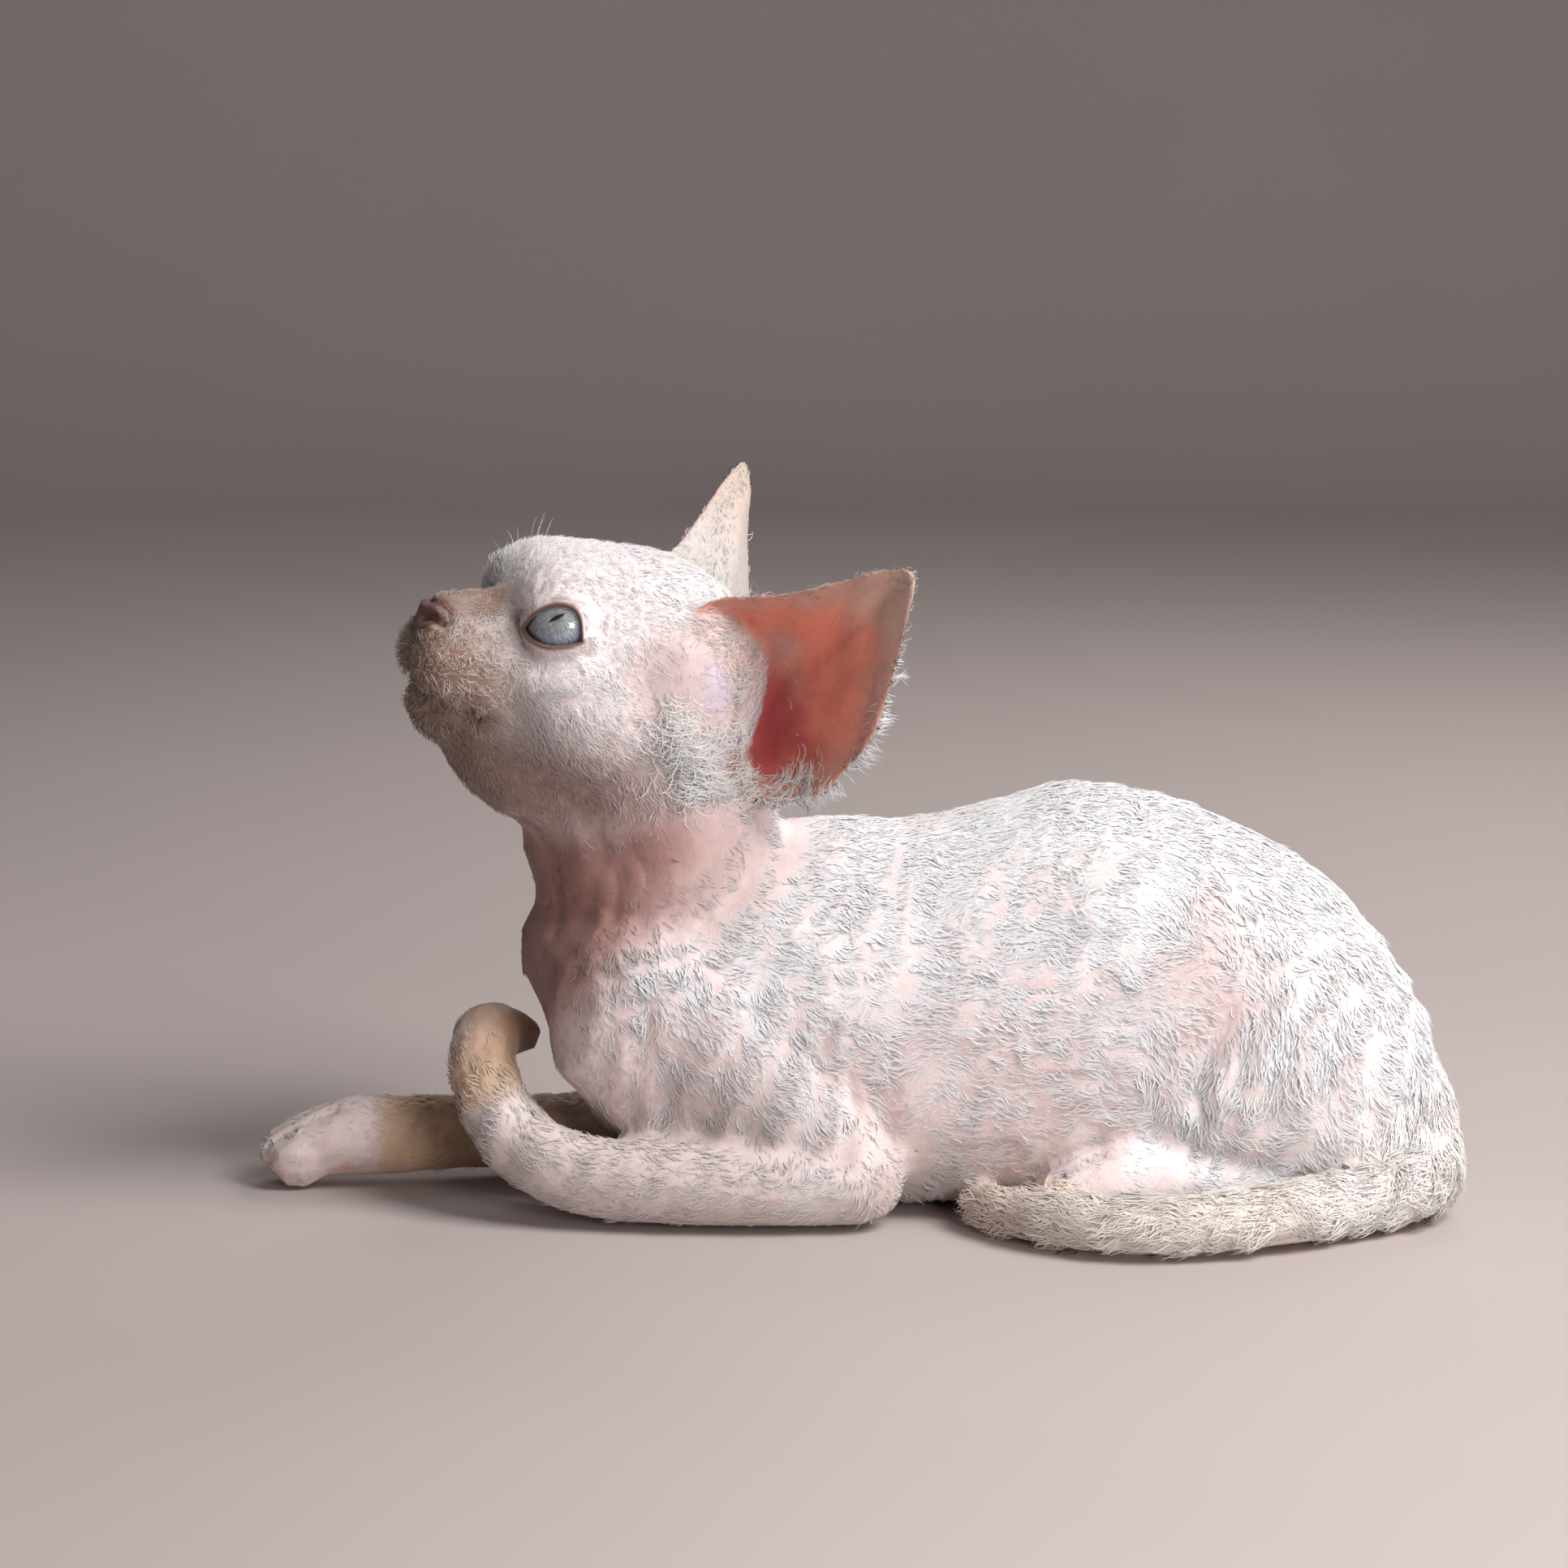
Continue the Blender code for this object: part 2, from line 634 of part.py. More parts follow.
# Places where the mesh stays fine: middle and radii. The first is in the head's axes.
FACE_SPOT = ((32, 0, -4), (26, 28, 26))
PAW_SPOTS = [((-132, 11, 10), (24, 18, 18)), ((-88, 4, 40), (16, 20, 16)), ((58, -33, 10), (24, 16, 16)),
             ((58, 33, 10), (24, 16, 16))]


def detail_at(points):
    """How much detail each place needs, from 0 to 1."""
    middle, radii = FACE_SPOT
    share = np.clip(2 - 1.5 * np.linalg.norm((head_coordinates(points) - middle) / radii, axis=1), 0, 1)
    for middle, radii in PAW_SPOTS:
        near = np.clip(2 - 1.5 * np.linalg.norm((points - middle) / radii, axis=1), 0, 1)
        share = np.maximum(share, 0.35 * near)
    return share


def finish_skin(body):
    """Works the face in, flattens what rests on the floor and thins the mesh out."""
    points = shape_face(head_coordinates(mesh_points(body)), mesh_normals(body) @ HEAD.T)
    points = on_head(lay_lids(points))
    points[:, 2] = np.maximum(points[:, 2], 0)
    set_mesh_points(body, points)
    weigh(body, "plain", 1 - detail_at(points))
    thin_out(body, BODY_TRIANGLES, vertex_group="plain", vertex_group_factor=DETAIL_PULL)
    points = mesh_points(body)
    points[points[:, 2] < 0.2, 2] = 0
    set_mesh_points(body, points)


def ear_shell(name, sign):
    """One ear as a closed cup: each ring is the rim drawn in towards the well at its foot and bulged back."""
    rim = smooth_rows(EAR_RIM + EAR_RIM[:1], 2)[:-1]
    if sign < 0:
        base = rim[0]
        axis = (np.array(EAR_RIM[8]) - base) / np.linalg.norm(np.array(EAR_RIM[8]) - base)
        turn = np.array(Matrix.Rotation(math.radians(RIGHT_EAR_TURN), 3, Vector(axis)))
        rim = (rim - base) @ turn.T + base + RIGHT_EAR_SHIFT
    rings = []
    for grown in (1.0, 0.88, 0.73, 0.56, 0.38, 0.18):
        bulge = EAR_BULGE * math.sin(math.pi * grown) ** 0.8
        rings.append(EAR_WELL + (rim - EAR_WELL) * grown + np.array(EAR_BACK) * bulge)
    inner = np.array(rings)
    thick = np.linspace(EAR_THICKNESS[1], EAR_THICKNESS[0], len(inner))[:, None, None]
    along = np.gradient(inner, axis=0)
    over = np.roll(inner, -1, axis=1) - np.roll(inner, 1, axis=1)
    normal = np.cross(along, over)
    normal /= np.maximum(np.linalg.norm(normal, axis=2), 1e-9)[..., None]
    if np.einsum("ijk,k->ij", normal, np.array(EAR_BACK)).sum() < 0:
        normal = -normal
    outer = inner + normal * thick
    rows = np.concatenate([inner[::-1], outer], axis=0) * (1, sign, 1)
    return closed_tube(name, on_head(rows.reshape(-1, 3)).reshape(rows.shape))


def slab(name, middle, normal, size):
    """A thin plate, as thick as the gap between nodes, that parts the body across."""
    away = Vector(normal).normalized()
    turn = np.array(away.to_track_quat("Z", "Y").to_matrix())
    corners = [(x, y, z) for z in (-1, 1) for x, y in ((-1, -1), (1, -1), (1, 1), (-1, 1))]
    points = np.array(corners) * (size / 2, size / 2, GAP / 2) @ turn.T + middle
    faces = [(0, 3, 2, 1), (4, 5, 6, 7), (0, 1, 5, 4), (1, 2, 6, 5), (2, 3, 7, 6), (3, 0, 4, 7)]
    return mesh_object(name, points, faces)


def combine(obj, cutter, operation):
    """A boolean with a cutter that stays in the scene."""
    use_modifier(obj, "BOOLEAN", object=cutter, operation=operation, solver="MANIFOLD")


def copy_of(obj, name):
    """A second object with its own mesh."""
    twin = obj.copy()
    twin.data = obj.data.copy()
    twin.name = name
    bpy.context.scene.collection.objects.link(twin)
    return twin


def loose_shells(obj):
    """The number of the closed surface that each face of the object belongs to."""
    parent = list(range(len(obj.data.vertices)))

    def root(v):
        while parent[v] != v:
            parent[v] = parent[parent[v]]
            v = parent[v]
        return v

    for edge in obj.data.edges:
        a, b = root(edge.vertices[0]), root(edge.vertices[1])
        if a != b:
            parent[a] = b
    return [root(p.vertices[0]) for p in obj.data.polygons]


def shells_of(obj, places):
    """Splits an object into its closed surfaces and keeps the largest ones, one for each name. places
    gives each name and a point that its surface lies round."""
    mesh = obj.data
    owner = loose_shells(obj)
    area = {}
    for polygon, shell in zip(mesh.polygons, owner):
        area[shell] = area.get(shell, 0) + polygon.area
    co = mesh_points(obj)
    found = {}
    for shell in sorted(area, key=area.get, reverse=True)[: len(places)]:
        faces = [p.vertices[:] for p, s in zip(mesh.polygons, owner) if s == shell]
        used = sorted({v for f in faces for v in f})
        number = {v: i for i, v in enumerate(used)}
        points = co[used]
        middle = 0.5 * (points.min(0) + points.max(0))
        name = min(places, key=lambda n: np.linalg.norm(middle - places[n]))
        found[name] = (points, [[number[v] for v in f] for f in faces])
    bpy.data.objects.remove(obj, do_unlink=True)
    for name, (points, faces) in found.items():
        part = mesh_object(name, points, faces)
        use_modifier(part, "TRIANGULATE")
    return [bpy.data.objects[name] for name in places]


def thin_out(obj, triangles, **settings):
    """Collapses edges until about that many triangles are left."""
    ratio = triangles / sum(len(p.vertices) - 2 for p in obj.data.polygons)
    use_modifier(obj, "DECIMATE", ratio=ratio, use_collapse_triangulate=True, **settings)


def sleeve_of(limb_name):
    """A closed sleeve round one limb, and the same sleeve wider by the gap between nodes."""
    sleeve = join_all("sleeve_" + limb_name, flesh_of(limb_name, ROOT_MARGIN, FREE_MARGIN))
    use_modifier(sleeve, "REMESH", mode="VOXEL", voxel_size=SLEEVE_VOXEL * MM)
    points = mesh_points(sleeve)
    points[:, 2] -= 3 * np.clip((8 - points[:, 2]) / 8, 0, 1.5) ** 2
    set_mesh_points(sleeve, points)
    use_modifier(sleeve, "SMOOTH", factor=0.5, iterations=8)
    thin_out(sleeve, SLEEVE_TRIANGLES)
    wide = copy_of(sleeve, sleeve.name + "_wide")
    set_mesh_points(wide, mesh_points(sleeve) + mesh_normals(sleeve) * GAP * CREASE_ALLOWANCE)
    return sleeve, wide


# Cuts: the middle of each thin slab, the direction across it and its size
HEAD_CUT = ((-49, -4, 102), (-0.114, 0, 1), 110)
NECK_CUT = ((-50, -3, 88.2), (-0.29, 0, 1), 140)
TAIL_CUTS = [((119, -41.5, 9), (-0.84, -0.54, 0), 40), ((74, -62, 8), (-1, -0.03, 0), 40)]


def part_body(body):
    """Parts the one skin into its nodes: limbs by sleeves, head, neck and tail lengths by thin slabs."""
    made = []
    for limb_name in LIMBS:
        sleeve, wide = sleeve_of(limb_name)
        piece = copy_of(body, limb_name)
        combine(piece, sleeve, "INTERSECT")
        combine(body, wide, "DIFFERENCE")
        places = {limb_name: (0, 0, 0)}
        if limb_name == "tail":
            for number, cut in enumerate(TAIL_CUTS):
                plate = slab(f"tail_cut_{number}", *cut)
                combine(piece, plate, "DIFFERENCE")
                bpy.data.objects.remove(plate, do_unlink=True)
            places = {"tail_root": (132, -18, 20), "tail_middle": (97, -54, 8), "tail_tip": (48, -50, 7)}
        made += shells_of(piece, places)
        for cutter in (sleeve, wide):
            bpy.data.objects.remove(cutter, do_unlink=True)
    for name, cut in (("head_cut", HEAD_CUT), ("neck_cut", NECK_CUT)):
        plate = slab(name, *cut)
        combine(body, plate, "DIFFERENCE")
        bpy.data.objects.remove(plate, do_unlink=True)
    return made + shells_of(body, {"head": (-62, -5, 140), "neck": (-50, -3, 95), "torso": (35, 0, 48)})


def carve_eyes(body):
    """Opens each pair of lids and hollows the socket behind them, then sets the eyeball in it."""
    made = []
    for label, sign in (("left", 1), ("right", -1)):
        middle = on_head(np.array(EYE_MIDDLE) * (1, sign, 1))
        opening = eye_opening(f"opening_{label}", sign)
        socket = ball(f"socket_{label}", middle, (EYE_RADIUS + GAP,) * 3, HEAD, 22)
        for cutter in (opening, socket):
            combine(body, cutter, "DIFFERENCE")
            bpy.data.objects.remove(cutter, do_unlink=True)
        made.append(ball(f"eye_{label}", middle, (EYE_RADIUS,) * 3, HEAD, 18))
    return made


def set_ears(body):
    """Makes both ears and trims each one back from the head by the gap between nodes."""
    made = []
    for label, sign in (("left", 1), ("right", -1)):
        ear = ear_shell(f"ear_{label}_whole", sign)
        skin = copy_of(body, "skin_for_ear")
        set_mesh_points(skin, mesh_points(skin) + mesh_normals(skin) * GAP * CREASE_ALLOWANCE)
        combine(ear, skin, "DIFFERENCE")
        bpy.data.objects.remove(skin, do_unlink=True)
        made += shells_of(ear, {f"ear_{label}": (0, 0, 0)})
    return made


MATERIALS = {
    "head": ("face_coat", FACE_COAT), "neck": ("white_coat", WHITE_COAT), "torso": ("white_coat", WHITE_COAT),
    "foreleg": ("white_coat", WHITE_COAT), "hindleg": ("white_coat", WHITE_COAT),
    "tail": ("cream_coat", CREAM_COAT), "ear": ("ear_skin", EAR_PINK), "eye": ("eye_blue", EYE_BLUE),
}


def dress(nodes):
    """Gives each node its colour and moves the part so that its origin is the middle of its bounds on the
    floor."""
    points = np.concatenate([mesh_points(node) for node in nodes])
    origin = 0.5 * (points.min(0) + points.max(0)) * (1, 1, 0)
    looks = {name: coat_material(name, colour, 0.1 if name == "eye_blue" else 0.9)
             for name, colour in set(MATERIALS.values())}
    for node in nodes:
        node.data.materials.clear()
        node.data.materials.append(looks[MATERIALS[node.name.split("_")[0]][0]])
        set_mesh_points(node, mesh_points(node) - origin)


def main():
    clear_scene()
    body = fuse("whole", block_out_body() + [block_out_head()])
    finish_skin(body)
    nodes = set_ears(body)
    nodes += carve_eyes(body)
    nodes += part_body(body)
    dress(nodes)


main()
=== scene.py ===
"""Looks of a devon rex kitten that lies with its head raised: its skin, eyes, wavy coat and whiskers.

Places are in millimetres in the kitten's own axes, as in the part's source: it faces -X, its left side
faces -Y and the floor is Z = 0. Meshes are made in metres.
"""

import math

import bmesh
import bpy
import numpy as np
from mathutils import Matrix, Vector
from mathutils.bvhtree import BVHTree
from mathutils.kdtree import KDTree


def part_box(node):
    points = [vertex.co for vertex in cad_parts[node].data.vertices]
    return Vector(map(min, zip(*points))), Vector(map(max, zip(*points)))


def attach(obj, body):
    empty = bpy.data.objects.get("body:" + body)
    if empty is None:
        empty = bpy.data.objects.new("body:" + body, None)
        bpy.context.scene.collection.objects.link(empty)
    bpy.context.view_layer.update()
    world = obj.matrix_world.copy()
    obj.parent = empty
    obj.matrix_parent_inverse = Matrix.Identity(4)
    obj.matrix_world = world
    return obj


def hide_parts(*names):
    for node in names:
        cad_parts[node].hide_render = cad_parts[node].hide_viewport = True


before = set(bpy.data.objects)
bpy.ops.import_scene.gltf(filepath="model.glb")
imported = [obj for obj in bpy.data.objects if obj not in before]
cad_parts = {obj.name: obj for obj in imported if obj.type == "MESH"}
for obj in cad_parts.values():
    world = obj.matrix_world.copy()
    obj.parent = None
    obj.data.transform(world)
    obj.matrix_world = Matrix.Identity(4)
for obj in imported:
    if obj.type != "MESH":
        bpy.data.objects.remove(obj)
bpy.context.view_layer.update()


# Skin: one closed hide from the nose to the tail's tip, inside the solids of flesh by the depth of the coat.
# Copies of the flesh nodes are merged and fused by a voxel remesh, then lids, lips and folds are worked in.
MM = 0.001
FLESH = sorted(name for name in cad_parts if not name.startswith("eye"))
SKIN_VOXEL = 0.75
SEAM_BRIDGE = 0.35
SKIN_TRIANGLES = 128000

# How the head is turned in degrees, and where the eyes lie in its own axes
HEAD_YAW = 25.0
HEAD_PITCH = 15.5
HEAD_ROLL = 10.0
EYE_RADIUS = 9.3
EYE_FORWARD, EYE_ASIDE, EYE_UP = 18.6, 14.9, 6.4
EYE_AXIS = (0.64, 0.76, 0.05)
HEAD_PLACE = (-63.0, -6.0, 139.0)


def head_axes():
    """The head's forward, left and up directions as rows: yaw about up, then pitch, then roll."""
    yaw, pitch, roll = (math.radians(a) for a in (HEAD_YAW, HEAD_PITCH, HEAD_ROLL))
    forward, left, up = np.array([-1.0, 0, 0]), np.array([0, -1.0, 0]), np.array([0, 0, 1.0])
    turned = forward * math.cos(yaw) + left * math.sin(yaw)
    left = left * math.cos(yaw) - forward * math.sin(yaw)
    lifted = turned * math.cos(pitch) + up * math.sin(pitch)
    up = up * math.cos(pitch) - turned * math.sin(pitch)
    return np.stack([lifted, left * math.cos(roll) - up * math.sin(roll),
                     up * math.cos(roll) + left * math.sin(roll)])


HEAD = head_axes()
EYE_MIDDLE = np.array([EYE_FORWARD, EYE_ASIDE, EYE_UP])
left_eye_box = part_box("eye_left")
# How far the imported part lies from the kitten's own axes
SHIFT = np.array((left_eye_box[0] + left_eye_box[1]) / 2) / MM - (EYE_MIDDLE @ HEAD + HEAD_PLACE)


def in_head(points):
    """Points of the kitten's axes, seen in the head's own axes."""
    return (np.asarray(points) - HEAD_PLACE) @ HEAD.T


def on_head(points):
    """Points of the head's own axes, put where the head is."""
    return np.asarray(points, float) @ HEAD + HEAD_PLACE


def read_points(obj):
    """The points of a mesh in millimetres, in the kitten's axes."""
    flat = np.empty(len(obj.data.vertices) * 3)
    obj.data.vertices.foreach_get("co", flat)
    return flat.reshape(-1, 3) / MM - SHIFT


def read_normals(obj):
    """The direction that each point of a mesh faces."""
    flat = np.empty(len(obj.data.vertices) * 3)
    obj.data.vertices.foreach_get("normal", flat)
    return flat.reshape(-1, 3)


def write_points(obj, points):
    """Puts points of the kitten's axes back into the mesh."""
    obj.data.vertices.foreach_set("co", ((points + SHIFT) * MM).ravel())
    obj.data.update()


def new_mesh(name, points, triangles):
    """A mesh object from points in millimetres and rows of three corner numbers."""
    mesh = bpy.data.meshes.new(name)
    mesh.vertices.add(len(points))
    mesh.vertices.foreach_set("co", ((np.asarray(points) + SHIFT) * MM).ravel())
    mesh.loops.add(len(triangles) * 3)
    mesh.loops.foreach_set("vertex_index", np.asarray(triangles, np.int32).ravel())
    mesh.polygons.add(len(triangles))
    mesh.polygons.foreach_set("loop_start", np.arange(len(triangles), dtype=np.int32) * 3)
    mesh.update(calc_edges=True)
    mesh.shade_smooth()
    obj = bpy.data.objects.new(name, mesh)
    bpy.context.scene.collection.objects.link(obj)
    return obj


def apply_modifier(obj, kind, **settings):
    """Adds a modifier with its settings and applies it."""
    modifier = obj.modifiers.new(kind.title(), kind)
    for key, value in settings.items():
        setattr(modifier, key, value)
    bpy.context.view_layer.objects.active = obj
    bpy.ops.object.modifier_apply(modifier=modifier.name)


def merged_copy(node, name):
    """A copy of a solid with its loose triangles welded together."""
    twin = bpy.data.objects.new(name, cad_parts[node].data.copy())
    bpy.context.scene.collection.objects.link(twin)
    work = bmesh.new()
    work.from_mesh(twin.data)
    bmesh.ops.remove_doubles(work, verts=work.verts, dist=1e-6)
    work.to_mesh(twin.data)
    work.free()
    return twin


def unit_ball(rings, sides):
    """Points of a ball of radius 1: a pole, rings of points at equal steps of the angle from it, and the
    other pole."""
    high = np.linspace(0, math.pi, rings + 1)[1:-1]
    about = np.linspace(0, 2 * math.pi, sides, endpoint=False)
    rows = np.stack([np.outer(np.sin(high), np.cos(about)), np.outer(np.sin(high), np.sin(about)),
                     np.repeat(np.cos(high)[:, None], sides, 1)], axis=-1).reshape(-1, 3)
    return np.concatenate([[(0, 0, 1.0)], rows, [(0, 0, -1.0)]])


def sphere(name, middle, radius, rings=24):
    """A closed ball with twice as many sides as rings."""
    return new_mesh(name, unit_ball(rings, 2 * rings) * radius + middle, ball_triangles(rings - 1, 2 * rings))


def ball_triangles(rows, sides):
    """Triangles of a ball whose points are a pole, rows of sides points, and the other pole."""
    j = np.arange(sides)
    k = (j + 1) % sides
    body = [np.column_stack([np.zeros(sides, int), 1 + j, 1 + k])]
    for row in range(rows - 1):
        a, b = 1 + row * sides, 1 + (row + 1) * sides
        body.append(np.column_stack([a + j, b + j, b + k]))
        body.append(np.column_stack([a + j, b + k, a + k]))
    last = 1 + rows * sides
    body.append(np.column_stack([np.full(sides, last), last - sides + k, last - sides + j]))
    return np.concatenate(body)


def join_meshes(name, pieces):
    """One object that holds all the pieces' meshes."""
    bpy.ops.object.select_all(action="DESELECT")
    for piece in pieces:
        piece.select_set(True)
    bpy.context.view_layer.objects.active = pieces[0]
    bpy.ops.object.join()
    pieces[0].name = name
    return pieces[0]


def eye_middle(sign):
    """The middle of an eyeball in the head's axes; sign is 1 on the left and -1 on the right."""
    return EYE_MIDDLE * (1, sign, 1)


def gather_flesh():
    """The flesh nodes, each grown by the width that bridges the gaps, with the eye sockets filled."""
    pieces = []
    for node in FLESH:
        piece = merged_copy(node, "flesh_" + node)
        write_points(piece, read_points(piece) + read_normals(piece) * SEAM_BRIDGE)
        pieces.append(piece)
    for sign in (1, -1):
        pieces.append(sphere("socket_fill", on_head(eye_middle(sign)), EYE_RADIUS + 0.9))
    return join_meshes("skin", pieces)


def ramp(values, low, high):
    """A smooth step from 0 at low to 1 at high."""
    share = np.clip((values - low) / (high - low), 0, 1)
    return share * share * (3 - 2 * share)


def away_from(points, path):
    """How far points lie from a bent line."""
    path = np.asarray(path, float)
    best = np.full(len(points), 1e9)
    for a, b in zip(path, path[1:]):
        share = np.clip(((points - a) @ (b - a)) / max(np.dot(b - a, b - a), 1e-9), 0, 1)
        best = np.minimum(best, np.linalg.norm(points - a - share[:, None] * (b - a), axis=1))
    return best


def bell(values, width):
    """A bell curve: 1 at 0 and about a third at the width."""
    return np.exp(-((values / width) ** 2))


def in_egg(points, middle, radii, inner, outer):
    """1 inside an egg and 0 outside it, with a smooth step between two shares of its radii."""
    return 1 - ramp(np.linalg.norm((points - middle) / radii, axis=1), inner, outer)


def by_line(points, path, near, far):
    """1 near a bent line and 0 away from it, with a smooth step between two distances."""
    return 1 - ramp(away_from(points, path), near, far)


def folded_over(points):
    """Points with both sides folded onto one: y becomes its distance from the middle."""
    return points * (1, 0, 1) + np.abs(points) * (0, 1, 0)


def unevenness(points, size, seed):
    """Soft noise from -1 to 1: the sum of sine waves of about that length in seeded random directions."""
    draw = np.random.default_rng(seed)
    waves = draw.normal(size=(9, 3))
    waves *= (2 * math.pi / size * draw.uniform(0.6, 1.5, 9) / np.linalg.norm(waves, axis=1))[:, None]
    return np.sin(points @ waves.T + draw.uniform(0, 2 * math.pi, 9)).sum(1) / 3.6


# The tail's middle line in the kitten's axes, and the way the ears' backs face in the head's axes
TAIL_PATH = [(128, 0, 30), (137, -8, 20), (137, -24, 11), (119, -41.5, 9), (98, -54.5, 8.5), (74, -62, 8),
             (54, -58, 7.5), (39, -47, 7), (28, -33, 6)]
EAR_BACK = {1: np.array([-0.66, -0.70, 0.28]), -1: np.array([-0.66, 0.70, 0.28])}


def share_of_head(points):
    """1 on the head and 0 from the neck on, by an egg round the skull."""
    return in_egg(in_head(points), (2, 0, -6), (50, 36, 36), 0.98, 1.3)


def share_of_ears(points):
    """1 on either ear, by the distance to the ear's own solid."""
    near = np.zeros(len(points))
    for side, tree in ear_trees.items():
        box_low, box_high = (np.array(c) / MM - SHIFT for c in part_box("ear_" + side))
        inside = np.flatnonzero(((points > box_low - 3) & (points < box_high + 3)).all(1))
        for i in inside:
            near[i] = max(near[i], 1 - 0.55 * max(0.0, tree.find_nearest(Vector(points[i]))[3] - 0.9))
    return np.clip(near, 0, 1)


def tree_of(obj):
    """A search tree over the faces of a mesh, in the kitten's axes."""
    faces = [tuple(p.vertices) for p in obj.data.polygons]
    return BVHTree.FromPolygons([Vector(p) for p in read_points(obj)], faces)


ear_trees = {}
for ear_side in ("left", "right"):
    ear_copy = merged_copy("ear_" + ear_side, "ear_copy")
    ear_trees[ear_side] = tree_of(ear_copy)
    bpy.data.objects.remove(ear_copy)

# The paws in the kitten's axes: middle, radii
PAWS = [((-132, 11, 10), (22, 16, 16)), ((-89, 6, 39), (13, 16, 13)), ((60, -33, 10), (24, 14, 14)),
        ((60, 33, 10), (24, 14, 14))]


def share_of_paws(points):
    """1 on the four paws, fading out up the leg."""
    share = np.zeros(len(points))
    for middle, radii in PAWS:
        share = np.maximum(share, in_egg(points, middle, radii, 0.8, 1.25))
    return share


def coat_depth(points, ears):
    """How deep the coat is: 1.5 on the body, 0.8 on paws, 0.45 on the head and 0.1 on the ears."""
    depth = 1.5 - 0.7 * share_of_paws(points)
    depth = depth + (0.45 - depth) * share_of_head(points)
    return depth + (0.1 - depth) * ears


def eye_axes(sign):
    """The eye's outward, nose-ward and upward directions in the head's axes."""
    out = np.array(EYE_AXIS) * (1, sign, 1)
    out /= np.linalg.norm(out)
    nose = np.cross(out, (0, 0, 1.0)) * sign
    nose /= np.linalg.norm(nose)
    return np.stack([out, nose, np.cross(nose, out) * sign])


LID_THICKNESS = 1.3
INNER_CORNER = (7.6, -3.3)
OUTER_CORNER = (-7.0, -1.0)
LID_MIDDLE = 0.5 * (INNER_CORNER[0] + OUTER_CORNER[0])
LID_HALF = 0.5 * (INNER_CORNER[0] - OUTER_CORNER[0])
UPPER_LID_RISE = 7.4
LOWER_LID_DROP = 2.6
# The ball round the eye on which the lids' edges are drawn
LID_BALL = EYE_RADIUS + 0.5


def lid_edges(along):
    """Heights of both lid edges at distances along the eye: each is the line from corner to corner plus an
    arch, the upper one fuller and leaning to the outer corner."""
    share = np.clip((along - LID_MIDDLE) / LID_HALF, -1, 1)
    line = OUTER_CORNER[1] + (INNER_CORNER[1] - OUTER_CORNER[1]) * (share + 1) / 2
    skewed = np.clip(share + 0.16 * (1 - share**2), -1, 1)
    upper = line + UPPER_LID_RISE * (1 - np.abs(skewed) ** 2.3) ** 0.8
    return upper, line - LOWER_LID_DROP * (1 - share**2) ** 0.75


def outside_lids(local, sign):
    """How far points lie outside the opening between the lids, measured on the eyeball, and how far they
    are from its middle. Inside the opening the distance is below 0."""
    out, nose, up = ((local - eye_middle(sign)) @ eye_axes(sign).T).T
    distance = np.linalg.norm(local - eye_middle(sign), axis=1)
    scale = LID_BALL / np.maximum(distance, 1)
    upper, lower = lid_edges(nose * scale)
    past = np.abs(nose * scale - LID_MIDDLE) - LID_HALF
    outside = np.maximum(np.maximum(up * scale - upper, lower - up * scale), past)
    return np.where(out > 0, outside, 30.0), distance


def lay_lids(local):
    """Brings the skin round each eye onto a dome that covers the eyeball by the lids' thickness, with a
    raised margin and a crease 3 mm outside it."""
    for sign in (1, -1):
        outside, distance = outside_lids(local, sign)
        near = np.clip((EYE_RADIUS + 8 - distance) / 5, 0, 1)
        share = (1 - ramp(outside, 0.8, 4.6)) * near
        crease = -0.55 * bell(outside - 3.0, 0.8) + 0.15 * bell(outside - 0.7, 0.7)
        wanted = EYE_RADIUS + LID_THICKNESS
        reach = distance + (wanted - distance) * share + crease * near
        local = eye_middle(sign) + (local - eye_middle(sign)) * (reach / np.maximum(distance, 1e-6))[:, None]
    return local


def curve_through(rows, steps=6):
    """A smooth line through rows of points: each length is a cubic whose slopes join at the rows."""
    rows = np.asarray(rows, float)
    padded = np.vstack([2 * rows[0] - rows[1], rows, 2 * rows[-1] - rows[-2]])
    share = (np.arange(steps) / steps)[:, None]
    out = [0.5 * (2 * b + (c - a) * share + (2 * a - 5 * b + 4 * c - d) * share**2
                  + (3 * b - a - 3 * c + d) * share**3)
           for a, b, c, d in zip(padded, padded[1:], padded[2:], padded[3:])]
    return np.vstack(out + [rows[-1:]])


def press(points, normals, tree, path, width, depth):
    """A groove along a line laid on the skin: the depth falls off as a bell curve with the distance from the
    line, on the side that the line lies on. A depth below 0 raises a ridge."""
    found = [tree.find_nearest(Vector(p)) for p in curve_through(path)]
    far = away_from(points, np.array([f[0] for f in found]))
    facing = np.array([f[1] for f in found]).mean(0)
    same_side = ramp(normals @ facing, -0.1, 0.3)
    return points - normals * (depth * same_side * bell(far, width))[:, None]


